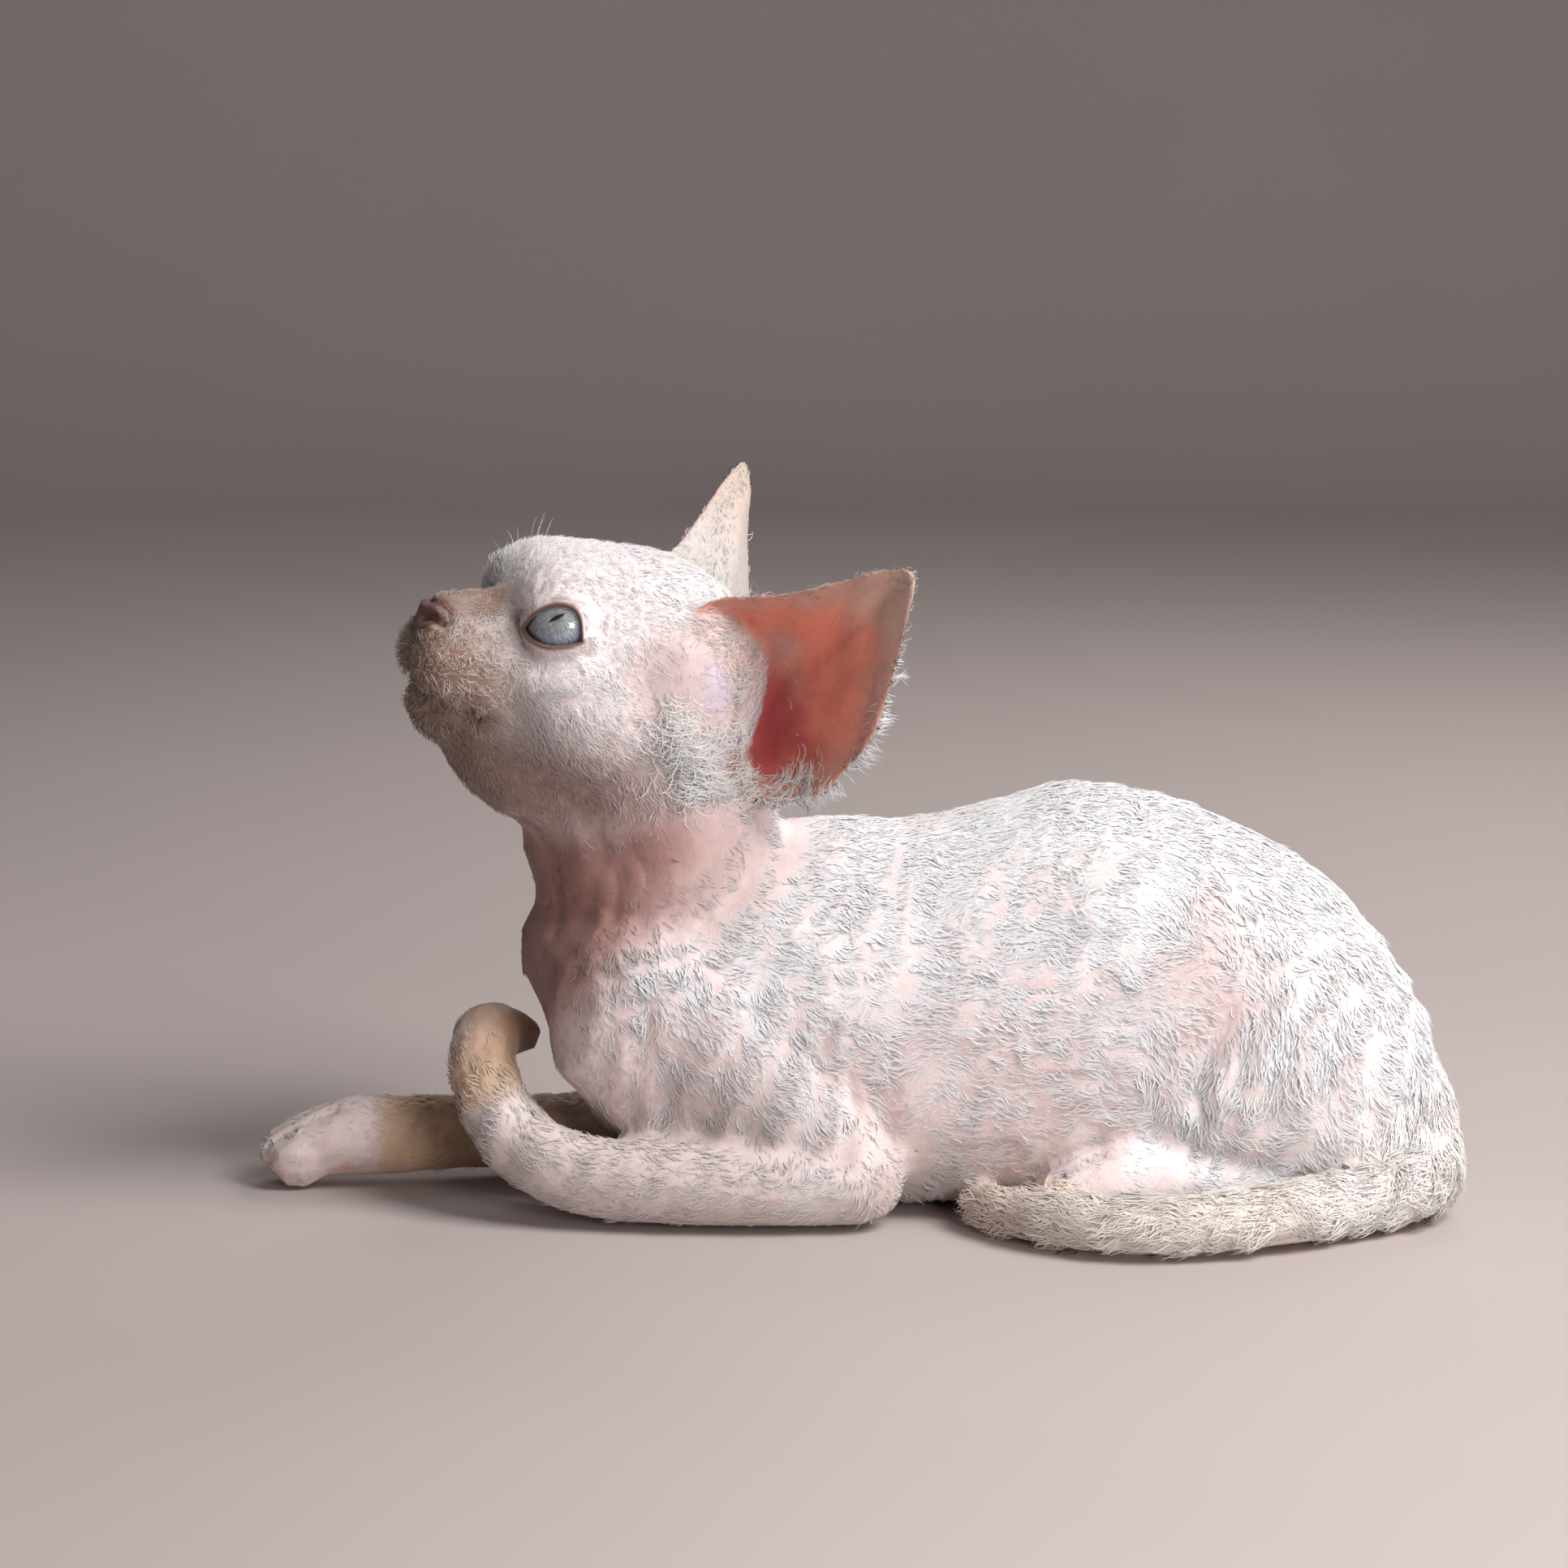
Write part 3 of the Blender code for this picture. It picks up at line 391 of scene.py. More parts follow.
# Lines worked into the face and ears, in the head's axes: path, width, depth. The lip comes first, and all
# but the cleft below the nose come in pairs.
LIP_CLEFT = ([(50, 0, -6.5), (50, 0, -10), (50, 0, -16.5)], 0.8, 0.8)
PAIRED_FACE_LINES = [
    ([(50, 0.4, -17), (48, 3, -19.5), (45.4, 7.4, -22), (40.5, 11.4, -23.4), (34.7, 14, -22.6),
      (30, 16, -21)], 0.9, 1.3),
    ([(48.6, 2.2, -2.4), (47.2, 3.8, -1.4), (44.6, 5.4, -2.4)], 0.8, 1.3),
    ([(48.2, 0, 2.6), (46.2, 3.6, 2.2), (43.4, 6, -0.8), (45.4, 5, -5.2), (49, 1.2, -6.6)], 0.7, 0.6),
    ([(29, 7, 3), (26, 10, 1.5), (24, 13, -3), (20, 18, -7), (12, 23, -8)], 1.6, 0.5),
    ([(-37, 30, -6), (-41, 40, 4), (-44, 50, 18)], 1.6, -0.7),
    ([(-36, 28, 0), (-39, 38, 14), (-41, 48, 28)], 1.4, -0.5),
    ([(-30, 31, -6), (-36, 33, -13), (-43, 40, -11)], 1.8, -1.0),
    ([(-34, 27, 4), (-35, 34, 18), (-37, 44, 30)], 1.8, 0.6),
]
# Folds of the loose skin on the left side, mirrored on the right, in the kitten's axes: path, width, depth
BODY_FOLDS = [
    ([(-76, -24, 108), (-66, -27, 96), (-60, -27, 84)], 2.4, 1.4),
    ([(-68, -27, 106), (-58, -29, 94), (-50, -30, 82)], 2.0, 0.9),
    ([(-84, -12, 104), (-80, -18, 88), (-80, -20, 74)], 2.2, 1.3),
    ([(-60, -30, 72), (-46, -34, 80), (-30, -33, 88)], 1.8, 0.7),
    ([(-66, -30, 62), (-50, -36, 70), (-34, -37, 80)], 1.6, 0.6),
    ([(-64, -34, 52), (-48, -39, 60), (-34, -40, 70)], 1.6, 0.5),
    ([(40, -40, 60), (43, -40, 45), (40, -39, 28)], 3.0, 0.8),
    ([(86, -41, 54), (80, -41, 38), (84, -40, 26)], 2.4, 1.2),
]
# Clefts between the toes, in the kitten's axes: from the front of the paw back over its top
TOE_CLEFTS = [((-149, 5.7, 12), (-132, 5.7, 21)), ((-151, 10.8, 13), (-133, 11, 22)),
              ((-149, 15.9, 14), (-132, 16, 22)),
              ((43, -38.6, 12), (58, -38.6, 21)), ((41, -33.6, 13), (58, -33.6, 22)),
              ((43, -28.6, 12), (58, -28.6, 21)),
              ((43, 38.6, 12), (58, 38.6, 21)), ((41, 33.6, 13), (58, 33.6, 22)),
              ((43, 28.6, 12), (58, 28.6, 21)),
              ((-91, 18, 43), (-94, 4, 48)), ((-86, 19, 41), (-88, 4, 47)), ((-95, 16, 40), (-98, 3, 45))]


def wave_phase(points):
    """Where a place lies in the coat's waves: rising along the body, bent by unevenness."""
    return 2 * math.pi * (points[:, 0] - 0.25 * points[:, 2] + 5 * unevenness(points, 42, 3)) / 10.5


def work_the_skin(obj):
    """Presses lips, nostrils, ear ridges, folds, toes and the coat's waves into the skin and lays the
    lids."""
    points, normals, tree = read_points(obj), read_normals(obj), tree_of(obj)
    head = share_of_head(points)
    points = press(points, normals, tree, on_head(LIP_CLEFT[0]), *LIP_CLEFT[1:])
    for path, width, depth in PAIRED_FACE_LINES:
        for sign in (1, -1):
            points = press(points, normals, tree, on_head(np.array(path) * (1, sign, 1)), width, depth)
    for path, width, depth in BODY_FOLDS:
        points = press(points, normals, tree, path, width, depth)
        points = press(points, normals, tree, np.array(path) * (1, -1, 1), width, depth)
    for start, end in TOE_CLEFTS:
        points = press(points, normals, tree, [start, end], 1.1, 1.6)
    waved = (1 - head) * (1 - share_of_paws(points)) * ramp(points[:, 2], 6, 20)
    height = 0.46 * (1 - 0.7 * ramp(normals[:, 2], 0.2, 0.9))
    points = points + normals * (height * np.sin(wave_phase(points)) * waved)[:, None]
    points = on_head(lay_lids(in_head(points)))
    points[:, 2] = np.maximum(points[:, 2], 0)
    write_points(obj, points)


def refine_face(obj):
    """Splits the faces of the muzzle, lids and nose into four, for their small forms."""
    work = bmesh.new()
    work.from_mesh(obj.data)
    local = in_head(read_points(obj))
    near = np.linalg.norm((local - (30, 0, -6)) / (24, 25, 25), axis=1) < 1
    edges = [e for e in work.edges if near[e.verts[0].index] and near[e.verts[1].index]]
    bmesh.ops.subdivide_edges(work, edges=edges, cuts=1, use_grid_fill=True, smooth=0.4)
    bmesh.ops.triangulate(work, faces=work.faces)
    work.to_mesh(obj.data)
    work.free()


def lid_wedge(name, sign):
    """The opening between the lids: the almond of their edges, carried out from the eyeball's middle."""
    turn = np.linspace(0, math.pi, 40)
    along = LID_MIDDLE + LID_HALF * np.cos(turn)
    upper, lower = lid_edges(along)
    ring = np.concatenate([np.column_stack([along, upper]), np.column_stack([along, lower])[-2:0:-1]])
    out = np.sqrt(np.maximum(LID_BALL**2 - (ring**2).sum(1), 9))
    rays = np.column_stack([out, ring]) @ eye_axes(sign)
    rings = [on_head(eye_middle(sign) + rays * grown) for grown in (0.5, 0.8, 1.0, 1.15, 1.5)]
    sides = len(ring)
    points = np.concatenate([[rings[0].mean(0)]] + rings + [[rings[-1].mean(0)]])
    obj = new_mesh(name, points, ball_triangles(len(rings), sides))
    face_outwards(obj)
    return obj


def face_outwards(obj):
    """Turns all faces round if the volume that they enclose comes out below 0."""
    points = read_points(obj)
    corners = np.array([p.vertices[:] for p in obj.data.polygons])
    a, b, c = (points[corners[:, i]] for i in range(3))
    if np.einsum("ij,ij->i", a, np.cross(b, c)).sum() < 0:
        obj.data.flip_normals()


skin = gather_flesh()
apply_modifier(skin, "REMESH", mode="VOXEL", voxel_size=SKIN_VOXEL * MM)
apply_modifier(skin, "SMOOTH", factor=0.5, iterations=4)
first_points = read_points(skin)
depth_here = SEAM_BRIDGE + coat_depth(first_points, share_of_ears(first_points))
write_points(skin, first_points - read_normals(skin) * depth_here[:, None])
loose = SKIN_TRIANGLES / sum(len(p.vertices) - 2 for p in skin.data.polygons)
apply_modifier(skin, "DECIMATE", ratio=loose, use_collapse_triangulate=True)
refine_face(skin)
work_the_skin(skin)
for eye_sign in (1, -1):
    for cutter in (lid_wedge("lid_wedge", eye_sign),
                   sphere("socket", on_head(eye_middle(eye_sign)), EYE_RADIUS + 0.25, 36)):
        apply_modifier(skin, "BOOLEAN", object=cutter, operation="DIFFERENCE", solver="MANIFOLD")
        bpy.data.objects.remove(cutter)
apply_modifier(skin, "TRIANGULATE")


def keep_largest_shell(obj):
    """Drops every closed surface of the mesh but the largest."""
    work = bmesh.new()
    work.from_mesh(obj.data)
    left, shells = set(work.verts), []
    while left:
        edge_of_shell = [left.pop()]
        shell = set(edge_of_shell)
        while edge_of_shell:
            for edge in edge_of_shell.pop().link_edges:
                for vert in edge.verts:
                    if vert not in shell:
                        shell.add(vert)
                        edge_of_shell.append(vert)
        left -= shell
        shells.append(shell)
    shells.sort(key=len)
    bmesh.ops.delete(work, geom=[v for shell in shells[:-1] for v in shell], context="VERTS")
    work.to_mesh(obj.data)
    work.free()


keep_largest_shell(skin)
skin.data.shade_smooth()

# Markings, as light that the surface returns in red, green and blue; some of it is painted shade, on the
# throat, under the head, on belly and legs and deep in the ears' cups
WHITE_HAIR = np.array([0.93, 0.90, 0.89])
PINK_SKIN = np.array([0.80, 0.56, 0.53])
# Rose of thin coat: partly the skin showing through, partly painted shade
THIN_COAT_ROSE_AND_SHADE = np.array([0.80, 0.63, 0.61])
# The rose of the neck's thin coat, also laid under the head as painted shade
NECK_ROSE_AND_JAW_SHADE = np.array([0.50, 0.29, 0.25])
# Brown of the throat and chest, partly the skin under thin hair and partly painted shade; also the painted
# shadow at the shoulder's fold
THROAT_BROWN_AND_SHADE = np.array([0.26, 0.12, 0.095])
POINT_OCHRE = np.array([0.60, 0.43, 0.325])
POINT_BROWN = np.array([0.24, 0.135, 0.095])
LIP_BROWN = np.array([0.15, 0.075, 0.055])
NOSE_LEATHER = np.array([0.10, 0.045, 0.035])
LAVENDER_SKIN = np.array([0.66, 0.59, 0.74])
TAIL_CREAM = np.array([0.95, 0.78, 0.66])
TAIL_SAND = np.array([0.92, 0.64, 0.48])
# Rose of the lower legs, partly their thin coat and partly painted shade; darker, it is painted shade on the
# belly
LEG_ROSE_AND_SHADE = np.array([0.64, 0.50, 0.46])
PAW_SAND = np.array([0.76, 0.47, 0.29])
EAR_SAND = np.array([0.58, 0.41, 0.32])
EAR_RED = np.array([0.72, 0.21, 0.135])
# Red deep in the ears' cups, partly their own and partly painted shade in the recess
WELL_RED_AND_SHADE = np.array([0.40, 0.062, 0.06])
EAR_FUR = np.array([0.66, 0.41, 0.33])
LID_PINK = np.array([0.50, 0.25, 0.21])
PAD_PINK = np.array([0.66, 0.36, 0.32])

# Pads under the paws, in the kitten's axes: middle, radius
PADS = [((-147, 4.5, 4), 4.5), ((-150, 11, 4), 4.5), ((-147, 17, 4), 4.5), ((-136, 10, 2), 7.0),
        ((47, -33, 2), 5.0), ((47, 33, 2), 5.0), ((-128, 3, 3.5), 4.6), ((-113, 4, 4), 4.0)]
# The deep end of the left ear's cup, in the head's axes
EAR_WELL = (-33.0, 17.0, -6.0)


def mix(low, high, share):
    """Each colour of low moved towards high by its share."""
    return low + (high - low) * np.asarray(share)[:, None]


def nose_share(local):
    """1 on the bare leather of the nose."""
    return in_egg(local, (49.4, 0, -1.6), (6.2, 6.2, 4.6), 0.86, 1.04)


def mask_share(local):
    """1 on the brown of the muzzle, chin and nose, fading over the cheeks and up the bridge of the nose. On
    the jaw the brown is partly painted shade.
    """
    muzzle = in_egg(local, (42, 0, -15), (27, 28, 24), 0.5, 1.2)
    bridge = in_egg(local, (38, 0, 2), (19, 10, 10), 0.6, 1.25)
    # The brown on the jaw: partly its own, partly painted shade under the head
    jaw = in_egg(local, (28, 0, -32), (30, 22, 15), 0.4, 1.35)
    return np.maximum(np.maximum(muzzle, bridge), 0.8 * jaw)


def ear_faces(points, normals):
    """1 inside the cup of an ear and 0 on its back, and how far out towards the tip each place lies."""
    local = in_head(points)
    sign = np.where(local[:, 1] > 0, 1, -1)
    back = np.where(sign[:, None] > 0, EAR_BACK[1], EAR_BACK[-1])
    inside = ramp(-np.einsum("ij,ij->i", normals @ HEAD.T, back), -0.15, 0.35)
    out = np.linalg.norm(folded_over(local) - EAR_WELL, axis=1)
    return inside, out


# Furred lines of the left ear, in the head's axes: the fold in front of its cup, and its rim from the notch
# below round to the tip
EAR_FRONT = [(-13, 27, 17), (-22, 31, 13), (-29, 32, 14), (-31, 32, 8), (-29, 31, -2)]
EAR_EDGE = [(-27, 31, -12), (-37, 33, -20), (-48, 44.5, -10.5), (-49.4, 51.5, 1), (-45, 61.5, 29),
            (-41, 62, 46), (-28, 43, 34.5), (-15, 25.5, 24)]


def furred_ear_share(local):
    """1 on the fold in front of the ear's cup and on its rim, where hair covers the skin."""
    folded = folded_over(local)
    return np.maximum(by_line(folded, EAR_FRONT, 4.0, 9.5), 0.75 * by_line(folded, EAR_EDGE, 2.5, 8.0))


# The middle of the throat and chest, in the kitten's axes
THROAT_PATH = [(-86, -2, 106), (-82, -2, 84), (-76, -2, 62)]
# Where the neck meets the shoulder, its y counted from the middle on either side; a painted shadow of the
# fold lies along it
SHOULDER_FOLD_SHADOW = [(-50, 25, 94), (-60, 24, 78), (-70, 26, 62)]
FAR_FOREARM = [(-60, 24, 12), (-112, 13, 12)]
# Along the near wrist, whose sand is partly its own and partly a painted shadow of the neck
NEAR_WRIST_SAND_AND_SHADOW = [(-92, -16, 32), (-92, 8, 42)]
# The thinly haired patch in front of the ears, in the head's axes
TEMPLE_LINE = [(-12, 25, 17), (-16, 29, 9), (-18, 31, 2)]


def neck_share(points):
    """1 on the sides of the neck, where the coat is thin and short."""
    return in_egg(points, (-58, 0, 92), (38, 44, 30), 0.5, 1.3)


def chest_share(points):
    """1 on the throat and chest front, where the hair is shortest and brownish, partly as painted shade."""
    return by_line(points, THROAT_PATH, 19, 40)


def cover(points):
    """How thick the coat stands, from 0 to 1: full on back, rump and paws, and thin on neck, chest, elbows,
    thighs, flank and temples."""
    local = in_head(points)
    head = share_of_head(points)
    body = 1 - head
    flat = points * (1, 0, 1)
    bands = 0.5 + 0.5 * np.cos(wave_phase(points))
    flank = in_egg(flat, (26, 0, 34), (46, 1, 24), 0.5, 1.25)
    arm = in_egg(flat, (-52, 0, 42), (26, 1, 26), 0.4, 1.2)
    thigh = in_egg(flat, (82, 0, 62), (16, 1, 24), 0.3, 1.2)
    temple = in_egg(folded_over(local), (-10, 28, 0), (18, 18, 16), 0.5, 1.1)
    # The coat thins in bands along its waves; through the thin coat's rose these bands are partly painted
    # shade
    full = 0.84 + 0.08 * unevenness(points, 26, 31) - 0.13 * np.sin(wave_phase(points)) * body
    full = full - 0.42 * np.maximum(neck_share(points), 0.7 * chest_share(points)) * body
    full = full - (0.18 + 0.36 * bands) * flank * body
    full = full - (0.15 + 0.2 * bands) * arm * body
    full = full - 0.5 * thigh * body
    full = full - 0.7 * temple * head
    full = full + (1 - full) * furred_ear_share(local) * (head > 0.2)
    return np.clip(full, 0.05, 1)


def body_colours(points, head, under, patches):
    """Colours of the body: rose neck and legs, a brown throat, a cream tail and sandy forepaws on the white
    of the coat. Where the coat thins, the skin's rose shows through, partly as painted shade. Painted shade
    lies under the jaw and on the belly, a painted shadow at the shoulder's fold, and the throat's brown, the
    legs' rose and the near wrist's sand are partly painted shade."""
    body = 1 - head
    full = cover(points)
    colour = mix(np.tile(WHITE_HAIR, (len(points), 1)), PINK_SKIN, under * (1.0 - 0.6 * full))
    # Rose where the coat thins: partly the skin showing through, partly painted shade in the waves' bands and
    # on flank, arm and thigh
    colour = mix(colour, THIN_COAT_ROSE_AND_SHADE * (1 - 0.2 * under)[:, None], 0.9 * (1 - full))
    colour = mix(colour, NECK_ROSE_AND_JAW_SHADE, 0.85 * neck_share(points) * body)
    # Brown on the throat and chest: partly the brownish skin under thin hair, partly painted shade
    throat = THROAT_BROWN_AND_SHADE * (1.1 - 0.2 * under)[:, None]
    colour = mix(colour, throat, 0.93 * chest_share(points) * body)
    local = in_head(points)
    # Rose under the head from the chin back: painted shade
    jaw = ramp(-local[:, 2], 6, 32) * ramp(local[:, 0], -36, -8) * head
    colour = mix(colour, NECK_ROSE_AND_JAW_SHADE * (0.95 - 0.2 * under)[:, None], 0.88 * jaw)
    # Rose on the lower legs: partly the thin coat's own, partly painted shade
    low_legs_rose_and_shade = (1 - ramp(points[:, 2], 16, 60)) * (1 - ramp(points[:, 0], -30, 6))
    colour = mix(colour, LEG_ROSE_AND_SHADE, 0.8 * low_legs_rose_and_shade)
    # A painted shadow along the fold where the neck meets the shoulder
    colour = mix(colour, THROAT_BROWN_AND_SHADE * 1.2, 0.65 * by_line(folded_over(points), SHOULDER_FOLD_SHADOW, 2, 13) * body)
    # Darker rose low on the belly: painted shade on the underside
    belly_shade = (1 - ramp(points[:, 2], 6, 34)) * ramp(points[:, 0], -20, 10) * (1 - ramp(points[:, 0], 40, 62))
    colour = mix(colour, LEG_ROSE_AND_SHADE * 0.85, 0.85 * belly_shade)
    tail = by_line(points, TAIL_PATH, 11.0, 15.0)
    tail = tail * ramp(-points[:, 1] + 0.3 * (points[:, 0] - 130), 0, 16)
    tail = tail * (1 - 0.5 * ramp(points[:, 0], 96, 126))
    tail_end = 1 - ramp(np.linalg.norm(points - TAIL_PATH[-1], axis=1), 6, 44)
    tail_hair = mix(np.tile(TAIL_CREAM, (len(points), 1)), TAIL_SAND, 0.7 * tail_end)
    colour = mix(colour, tail_hair * (1 - 0.1 * under)[:, None], tail * (0.88 + 0.1 * patches))
    sand = PAW_SAND * (1 - 0.3 * under)[:, None]
    far_arm = by_line(points, FAR_FOREARM, 11, 16)
    far_arm = far_arm * ramp(-points[:, 0], 50, 90) * (1 - 0.75 * ramp(-points[:, 0], 114, 134))
    colour = mix(colour, sand, 0.95 * far_arm)
    # Sand on the near wrist: partly its own, partly a painted shadow cast by the neck
    return mix(colour, sand, 0.85 * by_line(points, NEAR_WRIST_SAND_AND_SHADOW, 9, 15))


def face_colours(colour, local, head, under, patches):
    """The colours with the face's own over them: its brown mask, dark lips, nose leather and lids, with
    painted shade under the chin and jaw.
    """
    point_hair = mix(np.tile(POINT_OCHRE, (len(local), 1)), POINT_BROWN, under)
    # Darker brown low on the face is painted shade under the chin and jaw; the front of the muzzle and the
    # upper mask are darkened less
    lower_face = 0.8 * ramp(-local[:, 2], 14, 28) + 0.2 * ramp(local[:, 0], 44, 50)
    lower_face = lower_face + 0.35 * ramp(local[:, 2], -5, 2)
    point_hair = mix(point_hair, POINT_BROWN * 0.62, np.clip(lower_face, 0, 0.9))
    mask = mask_share(local) * (head > 0.02)
    colour = mix(colour, point_hair, np.clip(mask * (0.94 + 0.14 * patches), 0, 1))
    from_lips = np.minimum(away_from(folded_over(local), PAIRED_FACE_LINES[0][0]), 9)
    colour = mix(colour, LIP_BROWN, 0.85 * bell(from_lips, 1.9) * (head > 0.5))
    colour = mix(colour, NOSE_LEATHER, nose_share(local))
    for sign in (1, -1):
        outside, distance = outside_lids(local, sign)
        close = distance < EYE_RADIUS + 4
        lids = 0.55 * close * (1 - ramp(outside, 0.4, 1.5)) * (0.3 + 0.7 * under)
        colour = mix(colour, LID_PINK, lids)
        colour = mix(colour, LIP_BROWN * 0.8, 0.9 * close * (1 - ramp(outside, 0.2, 0.8)))
    return colour


def ear_colours(points, normals, local, under):
    """The ears' colours: a red well, darker partly as painted shade, that pales to sand at the tip, furred
    folds and a paler back.
    """
    inside, out = ear_faces(points, normals)
    blotches = out + 4 * unevenness(points, 14, 5) + 1.5 * unevenness(points, 4, 7)
    # Darker red towards the deep end of the cup: partly the ear's own red, partly painted shade in the recess
    cup = mix(np.tile(WELL_RED_AND_SHADE, (len(points), 1)), EAR_RED, ramp(blotches, 12, 32))
    cup = mix(cup, EAR_SAND, ramp(blotches, 36, 68))
    cup = mix(cup, EAR_FUR * (1 - 0.25 * under)[:, None], 0.8 * furred_ear_share(local))
    back = np.tile(WHITE_HAIR, (len(points), 1)) * 0.66
    back = mix(back, EAR_SAND, 0.36 + 0.5 * ramp(blotches, 30, 60))
    return mix(back, cup, inside)


def markings(points, normals, ears, under):
    """The kitten's colours: white, with a brown mask, rose neck and legs, a brown throat, a cream tail, sandy
    forepaws and pink ears. Painted shade lies under the head, on the belly, at the shoulder's fold and deep
    in the ears' cups, and in part on the throat, legs, near wrist and where the coat thins. under is 1 for
    the skin itself and 0 for the tips of the hair; the darkening towards the skin is partly painted shade
    deep in the coat."""
    local = in_head(points)
    head = share_of_head(points)
    folded = folded_over(local)
    patches = unevenness(points, 9, 11)
    colour = face_colours(body_colours(points, head, under, patches), local, head, under, patches)
    temple = np.minimum(away_from(folded, TEMPLE_LINE), 20)
    lavender = 0.62 * (1 - ramp(temple, 1.5, 6.5)) * (0.3 + 0.7 * under) * (1 - ears)
    colour = mix(colour, LAVENDER_SKIN, lavender)
    colour = mix(colour, ear_colours(points, normals, local, under), ears)
    colour = mix(colour, EAR_FUR, 0.75 * by_line(folded, EAR_FRONT, 4.0, 9.0) * (1 - ears))
    for middle, reach in PADS:
        pad = np.linalg.norm(points - middle, axis=1) / reach
        colour = mix(colour, PAD_PINK, (1 - ramp(pad, 0.6, 1.0)) * ramp(-normals[:, 2], 0.1, 0.5) * under)
    return np.clip(colour, 0.01, 1)


def paint(obj, colours):
    """Keeps colours at the points of the mesh as the attribute that the materials read."""
    layer = obj.data.color_attributes.new(name="Markings", type="FLOAT_COLOR", domain="POINT")
    opaque = np.column_stack([colours, np.ones(len(colours))])
    layer.data.foreach_set("color", opaque.astype(np.float32).ravel())


def marked_material(name, grain, detail, darkest, lightest):
    """A material that shows the markings, made here darker and there lighter by fine noise. It comes with
    the node of places that its noise uses."""
    material = bpy.data.materials.new(name)
    material.use_nodes = True
    nodes, links = material.node_tree.nodes, material.node_tree.links
    marks = nodes.new("ShaderNodeAttribute")
    marks.attribute_name = "Markings"
    place = nodes.new("ShaderNodeTexCoord")
    mottle = nodes.new("ShaderNodeTexNoise")
    mottle.inputs["Scale"].default_value = grain
    mottle.inputs["Detail"].default_value = detail
    vary = nodes.new("ShaderNodeHueSaturation")
    strength = nodes.new("ShaderNodeMapRange")
    strength.inputs["To Min"].default_value = darkest
    strength.inputs["To Max"].default_value = lightest
    links.new(place.outputs["Object"], mottle.inputs["Vector"])
    links.new(mottle.outputs["Fac"], strength.inputs["Value"])
    links.new(strength.outputs["Result"], vary.inputs["Value"])
    links.new(marks.outputs["Color"], vary.inputs["Color"])
    links.new(vary.outputs["Color"], nodes["Principled BSDF"].inputs["Base Color"])
    return material, place


def skin_material():
    """Thin living skin: the markings, mottled, with light that spreads a little below the surface and small
    wrinkles in the relief."""
    material, place = marked_material("kitten_skin", 420.0, 5.0, 0.82, 1.14)
    nodes, links = material.node_tree.nodes, material.node_tree.links
    shader = nodes["Principled BSDF"]
    wrinkles = nodes.new("ShaderNodeTexNoise")
    wrinkles.inputs["Scale"].default_value = 1500.0
    wrinkles.inputs["Detail"].default_value = 4.0
    relief = nodes.new("ShaderNodeBump")
    relief.inputs["Strength"].default_value = 0.35
    relief.inputs["Distance"].default_value = 0.0004
    links.new(place.outputs["Object"], wrinkles.inputs["Vector"])
    links.new(wrinkles.outputs["Fac"], relief.inputs["Height"])
    links.new(relief.outputs["Normal"], shader.inputs["Normal"])
    shader.inputs["Roughness"].default_value = 0.55
    shader.inputs["Specular IOR Level"].default_value = 0.35
    shader.inputs["Subsurface Weight"].default_value = 0.25
    shader.inputs["Subsurface Scale"].default_value = 0.002
    shader.inputs["Subsurface Radius"].default_value = (1.0, 0.35, 0.2)
    shader.inputs["Sheen Weight"].default_value = 0.15
    shader.inputs["Sheen Roughness"].default_value = 0.5
    return material


skin_points, skin_normals = read_points(skin), read_normals(skin)
skin_ears = share_of_ears(skin_points)
paint(skin, markings(skin_points, skin_normals, skin_ears, np.ones(len(skin_points))))
skin.data.materials.clear()
skin.data.materials.append(skin_material())
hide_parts(*FLESH)
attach(skin, "root")


# Eyes: wet balls with a blue-grey iris that fills the opening and a slit pupil, set in the sockets.
# Each is one closed ball; the iris is drawn from two coordinates across its front, kept in the mesh.
# Where each eye looks and how the slit of its pupil rises, in the head's axes
GAZE = {1: (0.605, 0.735, 0.303), -1: (0.80, -0.50, 0.33)}
SLIT_RISE = (-0.646, 0.252, 0.721)
IRIS_REACH = 8.4
SLIT_HALF_LENGTH = 2.4
SLIT_HALF_WIDTH = 0.5
EYE_RINGS, EYE_SIDES = 40, 64


def eyeball(name, sign):
    """A ball whose pole looks along the gaze. Each point keeps its place across the iris: along the slit,
    across it, and how far it lies from the pole."""
    gaze = np.array(GAZE[sign]) / np.linalg.norm(GAZE[sign])
    along = np.array(SLIT_RISE) * (1, sign, 1)
    along -= gaze * np.dot(along, gaze)
    along /= np.linalg.norm(along)
    across = np.cross(gaze, along)
    flat = unit_ball(EYE_RINGS, EYE_SIDES) * EYE_RADIUS
    local = flat @ np.stack([along, across, gaze]) + eye_middle(sign)
    ball = new_mesh(name, on_head(local), ball_triangles(EYE_RINGS - 1, EYE_SIDES))
    face_outwards(ball)
    kept = ball.data.attributes.new("Iris", "FLOAT_VECTOR", "POINT")
    kept.data.foreach_set("vector", flat.astype(np.float32).ravel())
    return ball


